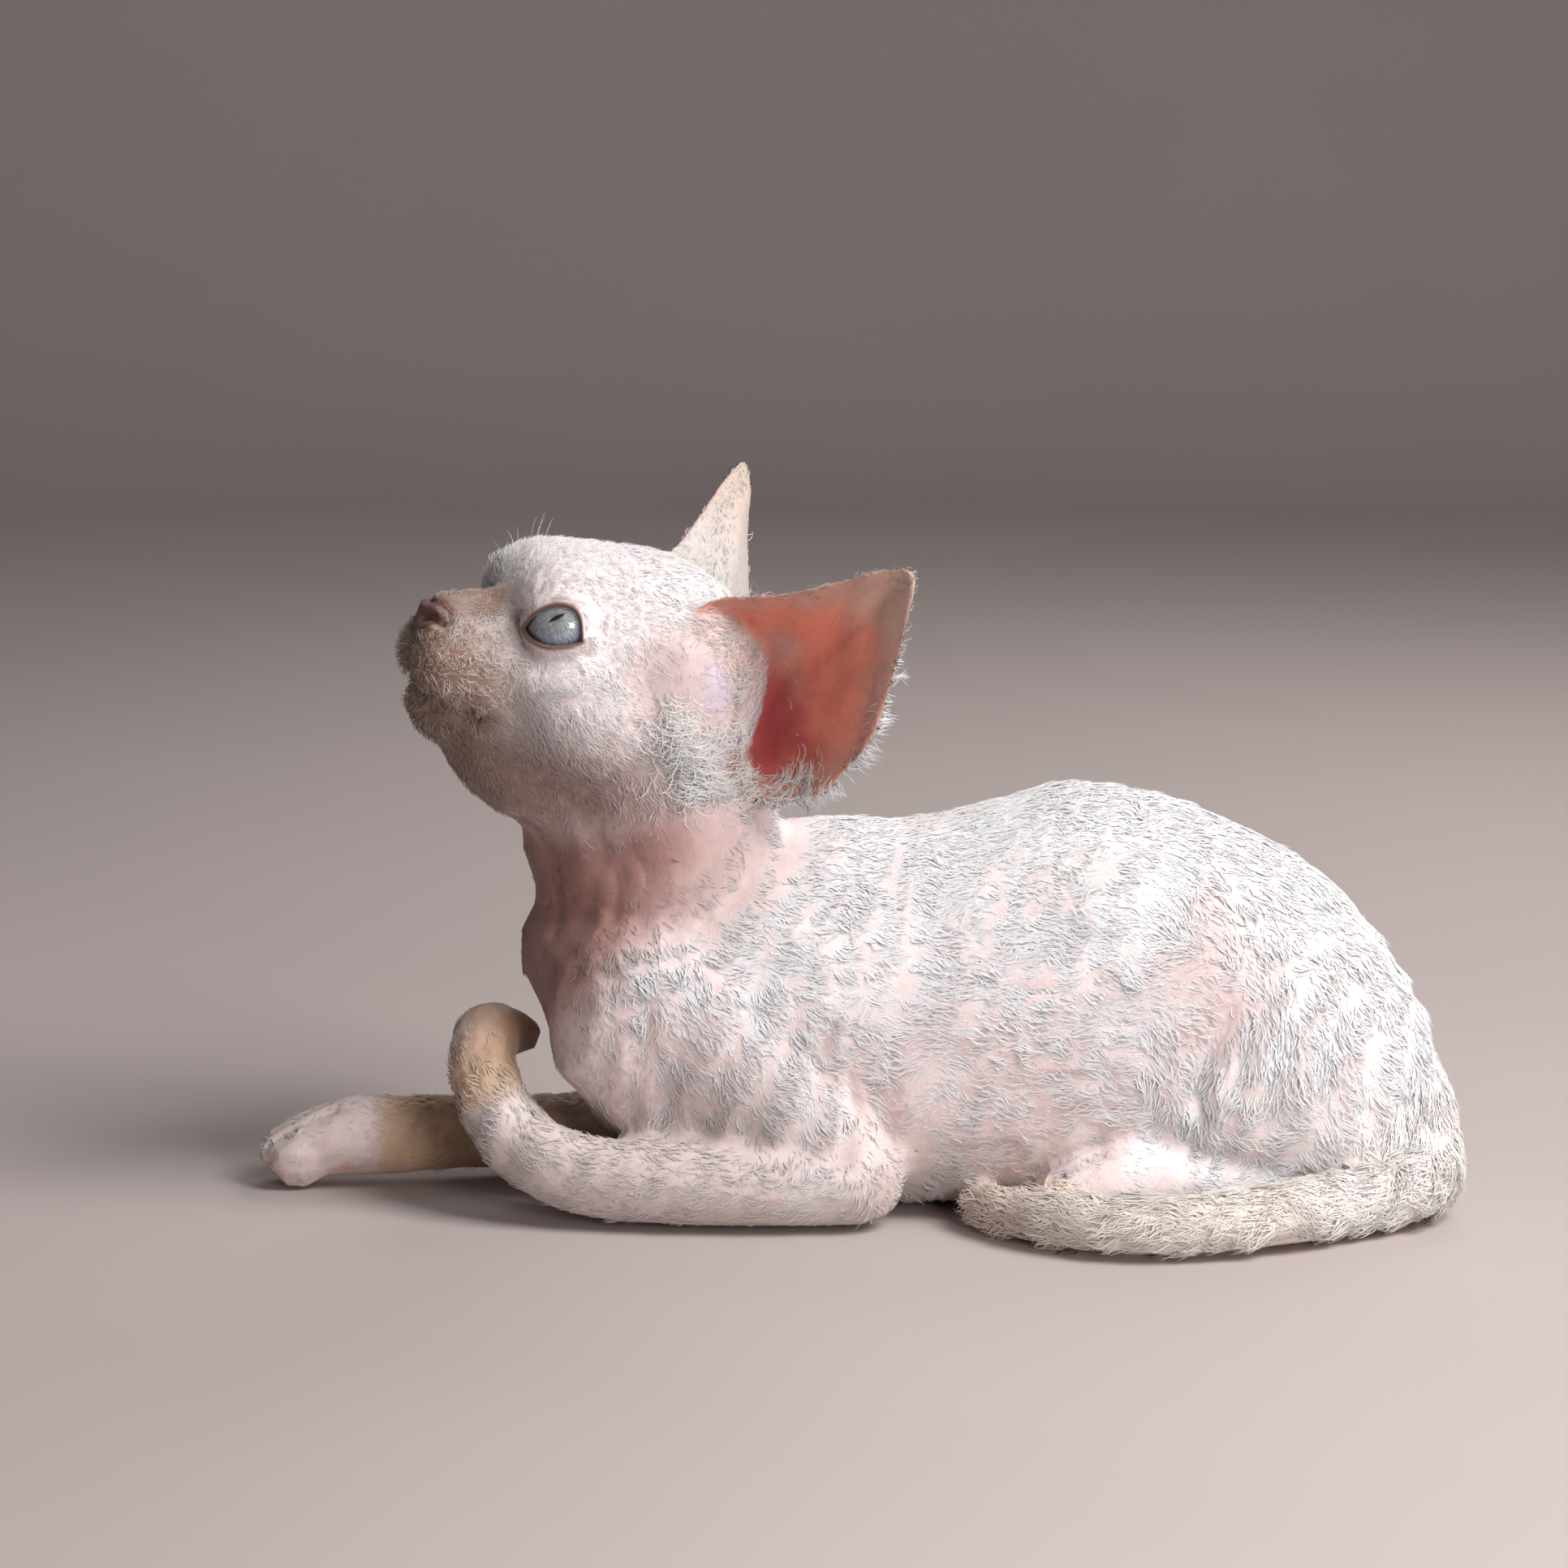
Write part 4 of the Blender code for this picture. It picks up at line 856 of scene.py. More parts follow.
def eye_material():
    """A wet eye: fibres run out from the pupil, a dark ring closes the iris, and clear coat lies over all."""
    material = bpy.data.materials.new("kitten_eye")
    material.use_nodes = True
    nodes, links = material.node_tree.nodes, material.node_tree.links
    shader = nodes["Principled BSDF"]

    def math_node(kind, first, second=None):
        node = nodes.new("ShaderNodeMath")
        node.operation = kind
        for socket, value in zip(node.inputs, (first, second)):
            if value is None:
                continue
            if isinstance(value, (int, float)):
                socket.default_value = value
            else:
                links.new(value, socket)
        return node.outputs[0]

    kept = nodes.new("ShaderNodeAttribute")
    kept.attribute_name = "Iris"
    parts = nodes.new("ShaderNodeSeparateXYZ")
    links.new(kept.outputs["Vector"], parts.inputs[0])
    along, across = parts.outputs[0], parts.outputs[1]
    far = math_node("SQRT", math_node("ADD", math_node("MULTIPLY", along, along),
                                      math_node("MULTIPLY", across, across)))
    angle = math_node("ARCTAN2", across, along)
    spun = nodes.new("ShaderNodeCombineXYZ")
    links.new(math_node("MULTIPLY", angle, 7.0), spun.inputs[0])
    links.new(math_node("MULTIPLY", far, 0.35), spun.inputs[1])
    fibres = nodes.new("ShaderNodeTexNoise")
    fibres.inputs["Scale"].default_value = 2.2
    fibres.inputs["Detail"].default_value = 6.0
    links.new(spun.outputs[0], fibres.inputs["Vector"])
    rings = nodes.new("ShaderNodeValToRGB")
    rings.color_ramp.elements[0].position = 0.0
    rings.color_ramp.elements[0].color = (0.10, 0.11, 0.10, 1)
    rings.color_ramp.elements[1].position = 1.0
    rings.color_ramp.elements[1].color = (0.02, 0.022, 0.03, 1)
    for place, colour in ((0.25, (0.26, 0.28, 0.26, 1)), (0.6, (0.24, 0.27, 0.31, 1)),
                          (0.82, (0.06, 0.07, 0.10, 1))):
        rings.color_ramp.elements.new(place).color = colour
    links.new(math_node("DIVIDE", far, IRIS_REACH), rings.inputs["Fac"])
    fibre_mix = nodes.new("ShaderNodeHueSaturation")
    light = nodes.new("ShaderNodeMapRange")
    light.inputs["From Min"].default_value = 0.3
    light.inputs["From Max"].default_value = 0.7
    light.inputs["To Min"].default_value = 0.35
    light.inputs["To Max"].default_value = 1.8
    links.new(fibres.outputs["Fac"], light.inputs["Value"])
    links.new(rings.outputs["Color"], fibre_mix.inputs["Color"])
    links.new(light.outputs["Result"], fibre_mix.inputs["Value"])
    way_along = math_node("POWER", math_node("DIVIDE", along, SLIT_HALF_LENGTH), 2.0)
    slit = math_node("MULTIPLY", math_node("SUBTRACT", 1.0, way_along), SLIT_HALF_WIDTH)
    inside = math_node("SUBTRACT", slit, math_node("ABSOLUTE", across))
    edge = nodes.new("ShaderNodeMapRange")
    edge.inputs["From Min"].default_value = -0.12
    edge.inputs["From Max"].default_value = 0.12
    links.new(inside, edge.inputs["Value"])
    pupil = nodes.new("ShaderNodeMix")
    pupil.data_type = "RGBA"
    pupil.inputs[7].default_value = (0.004, 0.004, 0.005, 1)
    links.new(edge.outputs["Result"], pupil.inputs["Factor"])
    links.new(fibre_mix.outputs["Color"], pupil.inputs[6])
    links.new(pupil.outputs[2], shader.inputs["Base Color"])
    shader.inputs["Roughness"].default_value = 0.35
    shader.inputs["Coat Weight"].default_value = 1.0
    shader.inputs["Coat Roughness"].default_value = 0.04
    shader.inputs["Coat IOR"].default_value = 1.5
    return material


wet_eye = eye_material()
for eye_side, eye_sign in (("left", 1), ("right", -1)):
    eye = eyeball("eyeball_" + eye_side, eye_sign)
    eye.data.materials.append(wet_eye)
    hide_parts("eye_" + eye_side)
    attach(eye, "root")


# Coat: short, soft, wavy hair in tufts of solid mesh, densest on the back and rump and thin on neck and
# temples. Each tuft is a curved three-sided spike, rooted in the skin and lying along the combed strokes.
COAT_SEED = 20
BAKE_PATCH = 0.003
# How flat a tuft's section is against its width
TUFT_FLATNESS = 0.42
# Where light that passes through loose hair comes from, and how much of it the coat takes
LIGHT_THROUGH_HAIR = np.array([0.15, -0.3, 0.9])
LIGHT_THROUGH_COAT = 0.25
# Combing strokes: from, to. Hair lies along the strokes nearest to it, and each stroke serves both sides.
BODY_STROKES = [
    ((-52, -10, 122), (-44, -14, 96)), ((-50, -24, 112), (-46, -28, 88)), ((-84, -10, 108), (-84, -10, 78)),
    ((-74, -24, 100), (-72, -26, 74)), ((-86, -4, 74), (-82, -8, 52)), ((-44, -6, 98), (-10, -6, 97)),
    ((-10, -6, 97), (40, -6, 103)), ((40, -6, 103), (90, -6, 95)), ((90, -6, 95), (126, -6, 68)),
    ((126, -6, 68), (142, -4, 40)), ((-40, -28, 84), (-4, -32, 74)), ((-4, -34, 74), (40, -36, 72)),
    ((40, -36, 72), (84, -36, 62)), ((0, -38, 46), (40, -40, 40)), ((10, -36, 20), (56, -38, 20)),
    ((-62, -34, 72), (-46, -40, 44)), ((-50, -40, 56), (-14, -44, 24)), ((-20, -42, 46), (2, -44, 20)),
    ((-8, -46, 12), (-40, -46, 11)), ((-40, -45, 12), (-70, -41, 14)), ((-74, -38, 16), (-94, -22, 34)),
    ((-95, -14, 40), (-88, 10, 46)), ((90, -38, 76), (98, -42, 48)), ((104, -34, 66), (122, -28, 40)),
    ((96, -42, 48), (88, -42, 30)), ((90, -38, 26), (114, -28, 16)), ((112, -28, 12), (84, -38, 12)),
    ((84, -38, 14), (50, -42, 12)), ((-74, 24, 22), (-108, 14, 22)), ((-108, 14, 22), (-146, 10, 16)),
    ((-66, -20, 30), (-60, -24, 8)), ((40, 0, 1), (90, 0, 1)),
]
HEAD_STROKES = [
    ((48, 0, 2), (32, 0, 8)), ((32, 0, 8), (12, 0, 22)), ((12, 0, 24), (-24, 0, 26)),
    ((-20, 0, 26), (-40, 0, 10)), ((46, 8, -8), (32, 15, -10)), ((30, 14, -8), (16, 24, -12)),
    ((24, 12, 14), (4, 22, 18)),
    ((2, 26, 10), (-14, 28, 4)), ((14, 26, -12), (-8, 30, -18)), ((44, 10, -20), (26, 18, -24)),
    ((26, 18, -24), (0, 26, -32)), ((46, 2, -26), (20, 6, -42)), ((18, 6, -44), (-12, 8, -52)),
    ((-8, 30, -18), (-24, 30, -34)), ((-18, 26, 18), (-30, 30, 24)),
]
EAR_STROKES = [((-30, 24, 0), (-41, 60, 46)), ((-36, 28, -14), (-46, 56, 16)),
               ((-14, 26, 18), (-34, 52, 42))]


def all_strokes():
    """Starts and ends of every stroke on both sides, with the tail's own line."""
    made = []
    for a, b in BODY_STROKES:
        made += [(a, b), (np.array(a) * (1, -1, 1), np.array(b) * (1, -1, 1))]
    for a, b in HEAD_STROKES + EAR_STROKES:
        for sign in (1, -1):
            made.append((on_head(np.array(a) * (1, sign, 1)), on_head(np.array(b) * (1, sign, 1))))
    made += list(zip(TAIL_PATH, TAIL_PATH[1:]))
    return np.array([(np.array(a, float), np.array(b, float)) for a, b in made])


def lie_of_hair(points, normals):
    """The way the hair lies: the sum of the strokes' directions, each weighed by the inverse fourth power of
    its distance, turned into the plane of the skin."""
    total = np.zeros_like(points)
    for a, b in all_strokes():
        share = np.clip(((points - a) @ (b - a)) / max(np.dot(b - a, b - a), 1e-9), 0, 1)
        far = np.linalg.norm(points - a - share[:, None] * (b - a), axis=1)
        total += ((b - a) / np.linalg.norm(b - a)) / (far[:, None] + 2.0) ** 4
    total -= normals * np.einsum("ij,ij->i", total, normals)[:, None]
    return total / np.maximum(np.linalg.norm(total, axis=1), 1e-12)[:, None]


def scatter_roots(obj, spacing, seed):
    """Roots spread evenly over the skin: seeded random places on its faces, thinned to one in each small
    cube whose side is the spacing."""
    draw = np.random.default_rng(seed)
    points, normals = read_points(obj), read_normals(obj)
    corners = np.empty(len(obj.data.polygons) * 3, np.int32)
    obj.data.polygons.foreach_get("vertices", corners)
    corners = corners.reshape(-1, 3)
    a, b, c = (points[corners[:, i]] for i in range(3))
    area = 0.5 * np.linalg.norm(np.cross(b - a, c - a), axis=1)
    count = int(area.sum() / spacing**2 * 3.0)
    face = np.searchsorted(np.cumsum(area) / area.sum(), draw.random(count))
    face = np.minimum(face, len(area) - 1)
    u, v = draw.random(count), draw.random(count)
    flip = u + v > 1
    u, v = np.where(flip, 1 - u, u), np.where(flip, 1 - v, v)
    weights = np.stack([1 - u - v, u, v], axis=1)
    roots = np.einsum("ij,ijk->ik", weights, points[corners[face]])
    facing = np.einsum("ij,ijk->ik", weights, normals[corners[face]])
    facing /= np.maximum(np.linalg.norm(facing, axis=1), 1e-9)[:, None]
    cell = np.floor(roots / spacing).astype(np.int64)
    key = (cell[:, 0] * 100003 + cell[:, 1]) * 100003 + cell[:, 2]
    first = np.unique(key, return_index=True)[1]
    first.sort()
    return roots[first], facing[first]


def unwrap_of_skin():
    """A coarse copy of the skin, unwrapped by its own shape: a search tree, its faces' corners and their
    places on the unwrap."""
    coarse = bpy.data.objects.new("unwrap", skin.data.copy())
    bpy.context.scene.collection.objects.link(coarse)
    apply_modifier(coarse, "DECIMATE", ratio=9000 / len(skin.data.polygons), use_collapse_triangulate=True)
    bpy.ops.object.select_all(action="DESELECT")
    coarse.select_set(True)
    bpy.context.view_layer.objects.active = coarse
    bpy.ops.object.mode_set(mode="EDIT")
    bpy.ops.mesh.select_all(action="SELECT")
    bpy.ops.uv.smart_project(angle_limit=math.radians(66), island_margin=0.004)
    bpy.ops.object.mode_set(mode="OBJECT")
    tree = tree_of(coarse)
    corners = np.array([p.vertices[:] for p in coarse.data.polygons])
    flat = np.empty(len(coarse.data.loops) * 2)
    coarse.data.uv_layers.active.data.foreach_get("uv", flat)
    points = read_points(coarse)
    bpy.data.objects.remove(coarse)
    return tree, points[corners], flat.reshape(-1, 3, 2)


unwrap_tree, unwrap_corners, unwrap_places = unwrap_of_skin()


def places_on_unwrap(points):
    """Where points lie on the skin's unwrap: the nearest coarse face, and the share of each of its
    corners."""
    face = np.array([unwrap_tree.find_nearest(Vector(p))[2] for p in points])
    a, b, c = (unwrap_corners[face, i] for i in range(3))
    ab, ac, ap = b - a, c - a, points - a
    d00, d01, d11 = (np.einsum("ij,ij->i", p, q) for p, q in ((ab, ab), (ab, ac), (ac, ac)))
    d20, d21 = np.einsum("ij,ij->i", ap, ab), np.einsum("ij,ij->i", ap, ac)
    under = np.maximum(d00 * d11 - d01 * d01, 1e-12)
    v, w = (d11 * d20 - d01 * d21) / under, (d00 * d21 - d01 * d20) / under
    shares = np.clip(np.stack([1 - v - w, v, w], axis=1), 0, 1)
    shares /= shares.sum(1)[:, None]
    return np.einsum("ij,ijk->ik", shares, unwrap_places[face])


def tuft_triangles(count, stations):
    """Corner numbers of many three-sided spikes: a cap at the root, two triangles a side for each length,
    and three to the tip."""
    one = [(0, 2, 1)]
    for s in range(stations - 1):
        for j in range(3):
            k = (j + 1) % 3
            a, b = s * 3, (s + 1) * 3
            one += [(a + j, a + k, b + k), (a + j, b + k, b + j)]
    top, tip = (stations - 1) * 3, stations * 3
    one += [(top + j, top + (j + 1) % 3, tip) for j in range(3)]
    return (np.array(one)[None] + (np.arange(count) * (tip + 1))[:, None, None]).reshape(-1, 3)


def grow_tufts(name, lines, outward, width, colours, skin_share, lit):
    """Many spikes in one mesh. lines holds each tuft's middle at its stations; a section is a triangle across
    the line whose size tapers to the tip, and each tuft has its own small patch on the unwrap. lit is added
    to the outward directions for the shading, as light passes through loose hair."""
    count, stations = lines.shape[0], lines.shape[1] - 1
    run = np.gradient(lines, axis=1)
    run /= np.maximum(np.linalg.norm(run, axis=2), 1e-9)[..., None]
    side = np.cross(outward[:, None, :], run)
    side /= np.maximum(np.linalg.norm(side, axis=2), 1e-9)[..., None]
    rise = np.cross(run, side)
    share = np.arange(stations) / stations
    taper = (1 - share**1.6) * (0.75 + 0.5 * np.minimum(share * 4, 1))
    size = width[:, None] * 0.5 * taper[None]
    rings = []
    for angle in (math.radians(90), math.radians(210), math.radians(330)):
        across, out = math.cos(angle), TUFT_FLATNESS * math.sin(angle)
        rings.append(lines[:, :stations] + side[:, :stations] * (size * across)[..., None]
                     + rise[:, :stations] * (size * out)[..., None])
    rings = np.stack(rings, axis=2).reshape(count, stations * 3, 3)
    points = np.concatenate([rings, lines[:, -1:]], axis=1)
    points[..., 2] = np.maximum(points[..., 2], 0.05)
    obj = new_mesh(name, points.reshape(-1, 3), tuft_triangles(count, stations))
    shade_like_skin(obj, points - lines.repeat([3] * stations + [1], axis=1), outward + lit, skin_share)
    each = np.concatenate([np.repeat(colours[:, :stations], 3, axis=1), colours[:, -1:]], axis=1)
    paint(obj, each.reshape(-1, 3))
    lay_patches(obj, places_on_unwrap(lines[:, 0]), stations, BAKE_PATCH)
    return obj


def shade_like_skin(obj, own, outward, skin_share):
    """Normals of tufts: a share of the skin's own outward direction and the rest of the spike's, so that the
    coat takes the light as one soft surface."""
    own = own / np.maximum(np.linalg.norm(own, axis=2), 1e-9)[..., None]
    blended = outward[:, None] * skin_share + own * (1 - skin_share)
    blended = blended.reshape(-1, 3)
    blended /= np.maximum(np.linalg.norm(blended, axis=1), 1e-9)[:, None]
    obj.data.normals_split_custom_set_from_vertices(blended)


def lay_patches(obj, places, stations, patch):
    """The OFBake map: each tuft is a small patch at its root's place, across its sides and along its
    length."""
    step = np.repeat(np.arange(stations), 3) / stations
    over = np.tile(np.arange(3), stations) / 2
    own = np.concatenate([np.column_stack([over, step]), [(0.5, 1.0)]]) * patch - patch / 2
    spots = np.clip(places[:, None, :] + own[None], 0.0005, 0.9995).reshape(-1, 2)
    corner = np.empty(len(obj.data.loops), np.int32)
    obj.data.loops.foreach_get("vertex_index", corner)
    layer = obj.data.uv_layers.new(name="OFBake")
    layer.data.foreach_set("uv", spots[corner].astype(np.float32).ravel())


def tuft_lines(roots, normals, lie, length, lift, curl, stations, draw):
    """Middle lines of tufts: each leaves the skin at its lift, bends down to lie along the coat, and sways
    sideways as a sine whose phase differs from tuft to tuft."""
    side = np.cross(normals, lie)
    share = np.linspace(0, 1, stations + 1)
    start = draw.uniform(0, 2 * math.pi, len(roots))
    lines = np.empty((len(roots), stations + 1, 3))
    lines[:, 0] = roots - normals * 0.35
    here = lines[:, 0].copy()
    for s in range(stations):
        middle = 0.5 * (share[s] + share[s + 1])
        angle = lift * (1.35 - 1.5 * middle)
        sway = curl * np.cos(start + 2.2 * math.pi * middle)
        step = lie * np.cos(angle)[:, None] + normals * np.sin(angle)[:, None] + side * sway[:, None]
        step /= np.linalg.norm(step, axis=1)[:, None]
        here = here + step * (length / stations)[:, None]
        lines[:, s + 1] = here
    return lines


def gather_tips(lines, every, pull, draw):
    """Draws the tips of neighbouring tufts together into locks: every so many tufts one leads, and the
    others' stations move towards its own by a share that grows with the square of the way to the tip."""
    leaders = np.sort(draw.choice(len(lines), max(len(lines) // every, 1), replace=False))
    tree = KDTree(len(leaders))
    for i, leader in enumerate(leaders):
        tree.insert(Vector(lines[leader, 0]), i)
    tree.balance()
    nearest = leaders[[tree.find(Vector(p))[1] for p in lines[:, 0]]]
    share = np.linspace(0, 1, lines.shape[1])[None, :, None] ** 2
    tips = lines[nearest, -1][:, None, :]
    return lines + (tips - lines) * share * pull


def coat_material():
    """Soft hair: the markings, with finer lighter and darker hairs, a broad sheen and no gloss."""
    material = marked_material("kitten_coat", 900.0, 3.0, 0.86, 1.12)[0]
    shader = material.node_tree.nodes["Principled BSDF"]
    shader.inputs["Roughness"].default_value = 0.7
    shader.inputs["Specular IOR Level"].default_value = 0.2
    shader.inputs["Subsurface Weight"].default_value = 0.3
    shader.inputs["Subsurface Scale"].default_value = 0.0012
    shader.inputs["Subsurface Radius"].default_value = (1.0, 0.62, 0.54)
    shader.inputs["Sheen Weight"].default_value = 0.2
    shader.inputs["Sheen Roughness"].default_value = 0.4
    return material


soft_coat = coat_material()


def bare_places(points, normals, ears):
    """1 where no hair grows: the nose leather, the lids' margins, the pads and the cup of the ear."""
    local = in_head(points)
    bare = nose_share(local)
    for sign in (1, -1):
        outside, distance = outside_lids(local, sign)
        bare = np.maximum(bare, (outside < 0.8) * (distance < EYE_RADIUS + 5))
        bare = np.maximum(bare, distance < EYE_RADIUS + 0.9)
    inside, out = ear_faces(points, normals)
    unfurred = (1 - furred_ear_share(local)) ** 0.2
    bare = np.maximum(bare, ears * inside * (1 - 0.25 * ramp(out, 44, 66)) * unfurred)
    for middle, reach in PADS:
        pad = np.linalg.norm(points - middle, axis=1) / reach
        bare = np.maximum(bare, (pad < 0.85) * (normals[:, 2] < -0.25))
    return bare


def growing_roots(chosen, spacing, seed, draw):
    """Roots of one piece of the coat and the way they face: those that chosen keeps and that the coat's
    thickness lets grow."""
    roots, normals = scatter_roots(skin, spacing, seed)
    keep = chosen(roots)
    roots, normals = roots[keep], normals[keep]
    growing = cover(roots) * (1 - bare_places(roots, normals, share_of_ears(roots)))
    growing *= ramp(roots[:, 2], 0.3, 2.0) * (1 - 0.9 * (normals[:, 2] < -0.8))
    keep = draw.random(len(roots)) < growing
    return roots[keep], normals[keep]


def coat_section(name, chosen, seed, spacing, length, width, lift, curl, stations, lock, skin_share):
    """One piece of the coat over the roots that chosen keeps. lift is in degrees from the skin, curl sways
    each tuft sideways, lock is the number of tufts whose tips draw together, and skin_share is how much of
    the skin's direction the shading takes."""
    draw = np.random.default_rng(seed)
    roots, normals = growing_roots(chosen, spacing, seed, draw)
    ears = share_of_ears(roots)
    lie = lie_of_hair(roots, normals)
    phase = wave_phase(roots)
    body = 1 - share_of_head(roots)
    side = np.cross(normals, lie)
    local = in_head(roots)
    muzzle = (1 - body) * in_egg(local, (40, 0, -14), (20, 21, 19), 0.7, 1.25)
    brow = (1 - body) * in_egg(local, (12, 0, 24), (26, 20, 12), 0.6, 1.2)
    bridge = (1 - body) * by_line(local, [(48, 0, 3), (34, 0, 9)], 5, 12)
    cheek = (1 - body) * in_egg(np.abs(local), (6, 24, 16), (22, 14, 16), 0.6, 1.3) * (local[:, 2] < 0)
    neck = body * np.maximum(neck_share(roots), chest_share(roots))
    turn = 0.34 * np.sin(phase) * body + 0.32 * unevenness(roots, 12.0, COAT_SEED)
    turn += (1.3 * unevenness(roots, 4.0, COAT_SEED + 40) * muzzle
             + 0.4 * unevenness(roots, 6.0, 9) * (1 - body))
    turn += draw.normal(0, 0.13, len(roots))
    lie = lie * np.cos(turn)[:, None] + side * np.sin(turn)[:, None]
    long = length * (0.75 + 0.5 * draw.random(len(roots))) * (1 - 0.45 * share_of_paws(roots))
    long *= 1 - 0.4 * bridge + 0.5 * cheek - 0.5 * neck
    long *= 1 - 0.4 * ears * (1 - furred_ear_share(local))
    upright = (1 + 0.4 * np.cos(phase) * body * (1 - ramp(normals[:, 2], 0.3, 0.9))
               + 0.6 * muzzle + 0.4 * brow - 0.4 * neck)
    upright = np.radians(lift) * (upright + draw.normal(0, 0.2, len(roots)))
    lines = tuft_lines(roots, normals, lie, long, upright, curl, stations, draw)
    lines = gather_tips(lines, lock, 0.5, draw)
    # Roots take the colours for under 0.7: rosier where skin shows through, and darker, painted shade deep in
    # the coat
    base = markings(roots, normals, ears, np.full(len(roots), 0.7))
    tips = markings(roots, normals, ears * 0.9, np.zeros(len(roots)))
    share = np.linspace(0, 1, stations + 1)[None, :, None] ** 0.7
    spread = 0.03 + 0.10 * muzzle + 0.03 * (1 - body)
    woolly = 0.14 * muzzle * unevenness(roots, 3.2, 77)
    shade = 1 + (draw.normal(0, 1, len(roots)) * spread + woolly)[:, None, None]
    colours = np.clip((base[:, None] * (1 - share) + tips[:, None] * share) * shade, 0.01, 0.97)
    wide = width * (0.8 + 0.4 * draw.random(len(roots)))
    lit = LIGHT_THROUGH_HAIR * LIGHT_THROUGH_COAT
    piece = grow_tufts(name, lines, normals, wide, colours, skin_share, lit)
    piece.data.materials.append(soft_coat)
    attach(piece, "root")


# Where the face's short hair ends, along the head's forward axis
FACE_END = 4


def on_tail(points):
    """True on the tail."""
    return (away_from(points, TAIL_PATH[1:]) < 12.5) & (points[:, 1] < -4 + 0.35 * (points[:, 0] - 128))


def on_face(points):
    """True on the front of the head, where the hair is shortest."""
    local = in_head(points)
    return (share_of_head(points) > 0.4) & (local[:, 0] > FACE_END)


def on_skull(points):
    """True on the rest of the head and on the ears."""
    local = in_head(points)
    by_ears = (np.linalg.norm(local - (-30, 0, 16), axis=1) < 72) & (local[:, 2] > -20)
    return ((share_of_head(points) > 0.4) | by_ears) & (local[:, 0] <= FACE_END)


def on_legs(points):
    """True on the forelegs below the elbow and on the hind feet."""
    fore = (points[:, 2] < 52) & (points[:, 0] < -52)
    arm = (away_from(points, [(0, -34, 12), (-46, -34, 12), (-70, -30, 13)]) < 14)
    hind = (points[:, 2] < 24) & (points[:, 0] > 38) & (points[:, 0] < 84) & (np.abs(points[:, 1]) > 20)
    return (fore | arm | hind) & ~on_tail(points)


def on_trunk(points):
    """True on the neck, trunk, upper arms and thighs."""
    return ~(on_tail(points) | on_face(points) | on_skull(points) | on_legs(points))


def trunk_part(side, low, high):
    """The trunk's roots on one side of the body, from one x to another."""
    return lambda p: on_trunk(p) & (p[:, 1] * side >= 0) & (p[:, 0] >= low) & (p[:, 0] < high)


FACE_HAIR = dict(spacing=0.61, length=3.2, width=0.25, lift=34, curl=0.9, stations=2, lock=9)
SKULL_HAIR = dict(spacing=0.86, length=3.8, width=0.30, lift=25, curl=0.7, stations=2, lock=9)
TRUNK_HAIR = dict(spacing=0.74, length=6.2, width=0.50, lift=11, curl=0.5, stations=2, lock=14)
LEG_HAIR = dict(spacing=1.02, length=4.2, width=0.42, lift=18, curl=0.6, stations=2, lock=10)
TAIL_HAIR = dict(spacing=0.76, length=8.6, width=0.38, lift=13, curl=0.7, stations=3, lock=16)
# Pieces of the trunk's coat: name, side, from x, to x
TRUNK_PIECES = [("coat_front_left", -1, -200, 4), ("coat_front_right", 1, -200, 4),
                ("coat_rear_left", -1, 4, 74), ("coat_rear_right", 1, 4, 74),
                ("coat_rump_left", -1, 74, 200), ("coat_rump_right", 1, 74, 200)]

coat_section("coat_face", on_face, COAT_SEED + 1, skin_share=0.42, **FACE_HAIR)
coat_section("coat_skull_and_ears", on_skull, COAT_SEED + 2, skin_share=0.8, **SKULL_HAIR)
for piece_seed, (piece_name, piece_side, piece_start, piece_end) in enumerate(TRUNK_PIECES, COAT_SEED + 3):
    piece_roots = trunk_part(piece_side, piece_start, piece_end)
    coat_section(piece_name, piece_roots, piece_seed, skin_share=0.93, **TRUNK_HAIR)
coat_section("coat_legs", on_legs, COAT_SEED + 9, skin_share=0.92, **LEG_HAIR)
coat_section("coat_tail", on_tail, COAT_SEED + 10, skin_share=0.93, **TAIL_HAIR)


# Ear curls and whiskers: loose wavy locks in and below the ears, a white fringe on their backs, and whiskers
# that curl as the breed's do, stubby on the muzzle and longer on the brow. Each hair is a thin tapered spike
# that bends to one side, rooted in the skin.
LOCK_LENGTHS = 7
WHISKER_LENGTHS = 12
# Locks of the left side, mirrored on the right, in the head's axes: middle, spread, hairs, the way they
# point, length, bend in degrees, width
EAR_LOCKS = [
    ((-8, 31, -7), 5.5, 170, (-0.3, 1.0, -0.6), 8.5, 160, 0.20),
    ((-13, 31, -13), 6.0, 240, (-0.3, 1.0, -0.7), 9.5, 190, 0.20),
    ((-19, 31, -19), 6.0, 240, (-0.4, 1.0, -0.7), 10.0, 190, 0.20),
    ((-20, 31, -9), 5.5, 120, (-0.6, 0.7, -0.4), 7.0, 320, 0.16),
    ((-27, 30, -8), 4.0, 80, (-0.8, 0.3, 0.2), 7.0, 330, 0.15),
    ((-30, 32, -18), 5.0, 150, (-0.6, 0.7, -0.1), 8.0, 190, 0.17),
    ((-41, 36, -14), 5.5, 150, (-0.8, 0.4, 0.4), 8.0, 160, 0.17),
    ((-38, 33, -19), 5.0, 120, (-0.5, 0.2, -0.8), 6.5, 150, 0.18),
    ((-24, 30, 6), 6.0, 150, (-0.6, 0.6, -0.5), 6.0, 260, 0.14),
    ((-16, 28, 14), 5.0, 100, (-0.6, 0.6, 0.1), 5.0, 220, 0.14),
]
